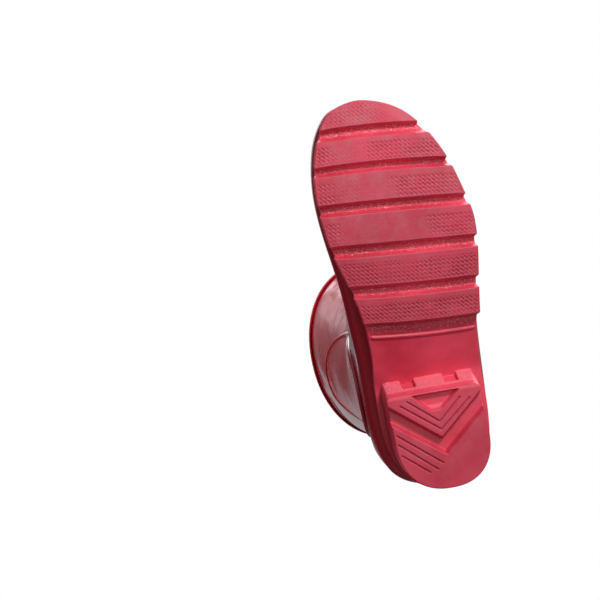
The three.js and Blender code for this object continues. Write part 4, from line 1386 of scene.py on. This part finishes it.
# ---- The pieces, and what each stands for ----

def add(piece, node, slot, look=None):
    piece.data.materials.clear()
    piece.data.materials.append(LOOKS[look or slot])
    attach(piece, ROOT)
    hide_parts(node)


foot_piece, leg_piece, foot_knit, leg_knit = make_shells()
add(make_outsole(), "outsole", "sole_rubber")
add(make_heel(), "heel_block", "sole_rubber")
add(make_foxing(), "foxing_band", "sole_rubber", "foxing_rubber")
add(foot_piece, "foot_shell", "gloss_rubber")
add(leg_piece, "leg_shell", "gloss_rubber")
add(make_toe_cap(), "toe_cap", "overlay_rubber")
add(make_counter(), "heel_counter", "overlay_rubber")
add(make_patch(), "ankle_patch", "overlay_rubber")
add(make_ankle_strip(), "ankle_strip", "overlay_rubber")
add(make_back_stay(), "back_stay", "overlay_rubber")
add(make_binding(), "top_binding", "overlay_rubber")
add(foot_knit, "foot_lining", "knit_lining")
add(leg_knit, "leg_lining", "knit_lining")
pad, cover = make_footbed()
add(pad, "footbed_foam", "foam")
add(cover, "footbed_cloth", "footbed_fabric")

HIDDEN = {
    "heel_plug": "cork", "shank": "spring_steel", "sole_filler": "cork",
    "insole_board": "fibreboard",
}
for node, slot in HIDDEN.items():
    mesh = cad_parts[node].data
    for index in range(len(mesh.materials)):
        mesh.materials[index] = LOOKS[slot]
    if not len(mesh.materials):
        mesh.materials.append(LOOKS[slot])


# ---- Camera, light and floor ----

CAMERA_PLACE = Vector((-0.1564, -0.2734, -1.3316))
LOOKING = Vector((0.0557, 0.1155, 0.9917))
UPWARD = Vector((0.2141, -0.9716, 0.1012))
RIGHTWARD = Vector((0.9752, 0.2067, -0.0788))
SENSOR = 36
LENS = 111
MIDDLE = Vector((0.0, -0.1, 0.05))
LEG_FRONT = Vector((-0.04, -0.1, 0.36))
FLOOR_HALF = 6.0
FLOOR_CELLS = 12
FLOOR_Z = -0.0006


def place_object(name, data):
    placed = bpy.data.objects.new(name, data)
    bpy.context.scene.collection.objects.link(placed)
    return placed


def make_camera():
    camera = place_object("camera", bpy.data.cameras.new("camera"))
    camera.data.sensor_width = SENSOR
    camera.data.lens = LENS
    camera.data.clip_start = 0.01
    camera.data.clip_end = 50
    forward = LOOKING.normalized()
    right = forward.cross(UPWARD).normalized()
    axes = Matrix((right, right.cross(forward), -forward)).transposed()
    camera.matrix_world = Matrix.Translation(CAMERA_PLACE) @ axes.to_4x4()
    bpy.context.scene.camera = camera


def area_light(name, place, size, power, tint=(1, 1, 1), target=MIDDLE):
    data = bpy.data.lights.new(name, "AREA")
    data.shape = "DISK"
    data.size = size
    data.energy = power
    data.color = tint
    lamp = place_object(name, data)
    lamp.location = place
    lamp.rotation_euler = (target - Vector(place)).to_track_quat("-Z", "Y").to_euler()
    return lamp


def make_lights():
    """A key and a fill under the sole for the photo's view, and boxes and a soft sun above."""
    toward = -LOOKING
    key_place = MIDDLE + toward * 1.05 + UPWARD * 0.95 + RIGHTWARD * 0.42
    area_light("sole_key", key_place, 0.3, 17.3)
    area_light("sole_fill", MIDDLE + toward * 1.4 + RIGHTWARD * 0.5, 1.0, 4.5)
    area_light("front_box", (0.9, -1.1, 0.9), 0.9, 11)
    area_light("back_box", (-1.1, 0.9, 1.1), 0.8, 7).visible_glossy = False
    leg_light = area_light("leg_light", (-0.75, -0.45, 0.55), 0.3, 0.18, (1.0, 0.8, 0.8),
                           LEG_FRONT)
    leg_light.data.spread = math.radians(26)
    leg_light.visible_glossy = False
    sun = place_object("soft_sun", bpy.data.lights.new("soft_sun", "SUN"))
    sun.data.energy = 1.45
    sun.data.angle = math.radians(35)
    sun.rotation_euler = Vector((-0.35, 0.55, -1.0)).to_track_quat("-Z", "Y").to_euler()


def make_world():
    """A room, by direction: dim below and paler overhead, in soft panels, bright in front of the
    toe, and dark overhead on the inner side. The camera itself sees plain white."""
    world = bpy.data.worlds.new("studio")
    bpy.context.scene.world = world
    world.use_nodes = True
    tree = world.node_tree

    def add_node(kind, outlet=0, operation=None, **inputs):
        made = tree.nodes.new("ShaderNode" + kind)
        if operation:
            made.operation = operation
        for key, value in inputs.items():
            socket = made.inputs[int(key[1:]) if key[1:].isdigit() else key.replace("_", " ")]
            if isinstance(value, bpy.types.NodeSocket):
                tree.links.new(value, socket)
            else:
                socket.default_value = value
        return made.outputs[outlet]

    def by(value, low, high, at_low, at_high):
        return add_node("MapRange", "Result", Value=value, From_Min=low, From_Max=high,
                        To_Min=at_low, To_Max=at_high)

    def times(a, b):
        return add_node("Math", operation="MULTIPLY", _0=a, _1=b)

    direction = add_node("TexCoord", "Generated")
    x, y, z = (add_node("SeparateXYZ", axis, Vector=direction) for axis in "XYZ")
    sky = by(z, -0.1, 0.35, 0.2, 0.62)
    mottle = add_node("TexNoise", "Fac", Vector=direction, Scale=5.5, Detail=1.5, Roughness=0.4)
    panels = by(mottle, 0.45, 0.55, 0.45, 1.6)
    front = by(y, -0.02, 0.17, 1.5, 0.4)
    inner = by(x, -0.4, -0.16, 0.08, 1.0)
    low = by(z, 0.15, 0.5, 1.0, 0.0)
    side = add_node("Math", operation="MAXIMUM", _0=inner, _1=low)
    strength = times(times(sky, panels), times(front, side))
    room = add_node("Background", Color=(0.95, 0.96, 1.0, 1), Strength=strength)
    seen = add_node("Background", Color=(1, 1, 1, 1), Strength=1.0)
    to_camera = add_node("LightPath", "Is Camera Ray")
    blend = add_node("MixShader", _0=to_camera, _1=room, _2=seen)
    tree.links.new(blend, tree.nodes["World Output"].inputs["Surface"])


def make_floor():
    """A pale floor that can't be seen from below, where the photo's camera is."""
    line = np.linspace(-FLOOR_HALF, FLOOR_HALF, FLOOR_CELLS)
    xs, ys = np.meshgrid(line, line)
    points = np.stack([xs, ys, np.full(xs.shape, FLOOR_Z)], -1).reshape(-1, 3) / MM
    floor = make_object("floor", points, [grid_faces(FLOOR_CELLS, FLOOR_CELLS, False)], False)
    s = Shader("floor_look", Roughness=0.8)
    tone = s.mix(s.noise(3, 3), linear(240, 240, 240), linear(246, 246, 246))
    s.connect(Base_Color=tone, Normal=s.bump(s.noise(200, 3), 0.0002, 0.2))
    mixed = s.node("MixShader", {
        0: s.node("NewGeometry").outputs["Backfacing"],
        1: s.surface.outputs[0],
        2: s.node("BsdfTransparent").outputs[0],
    })
    s.feed(s.tree.nodes["Material Output"].inputs["Surface"], mixed.outputs[0])
    floor.data.materials.append(s.material)
    floor.visible_diffuse = False
    floor.visible_glossy = False
    floor.visible_transmission = False
    floor.visible_shadow = False


make_camera()
make_lights()
make_world()
make_floor()
bpy.context.scene.view_settings.view_transform = "Standard"
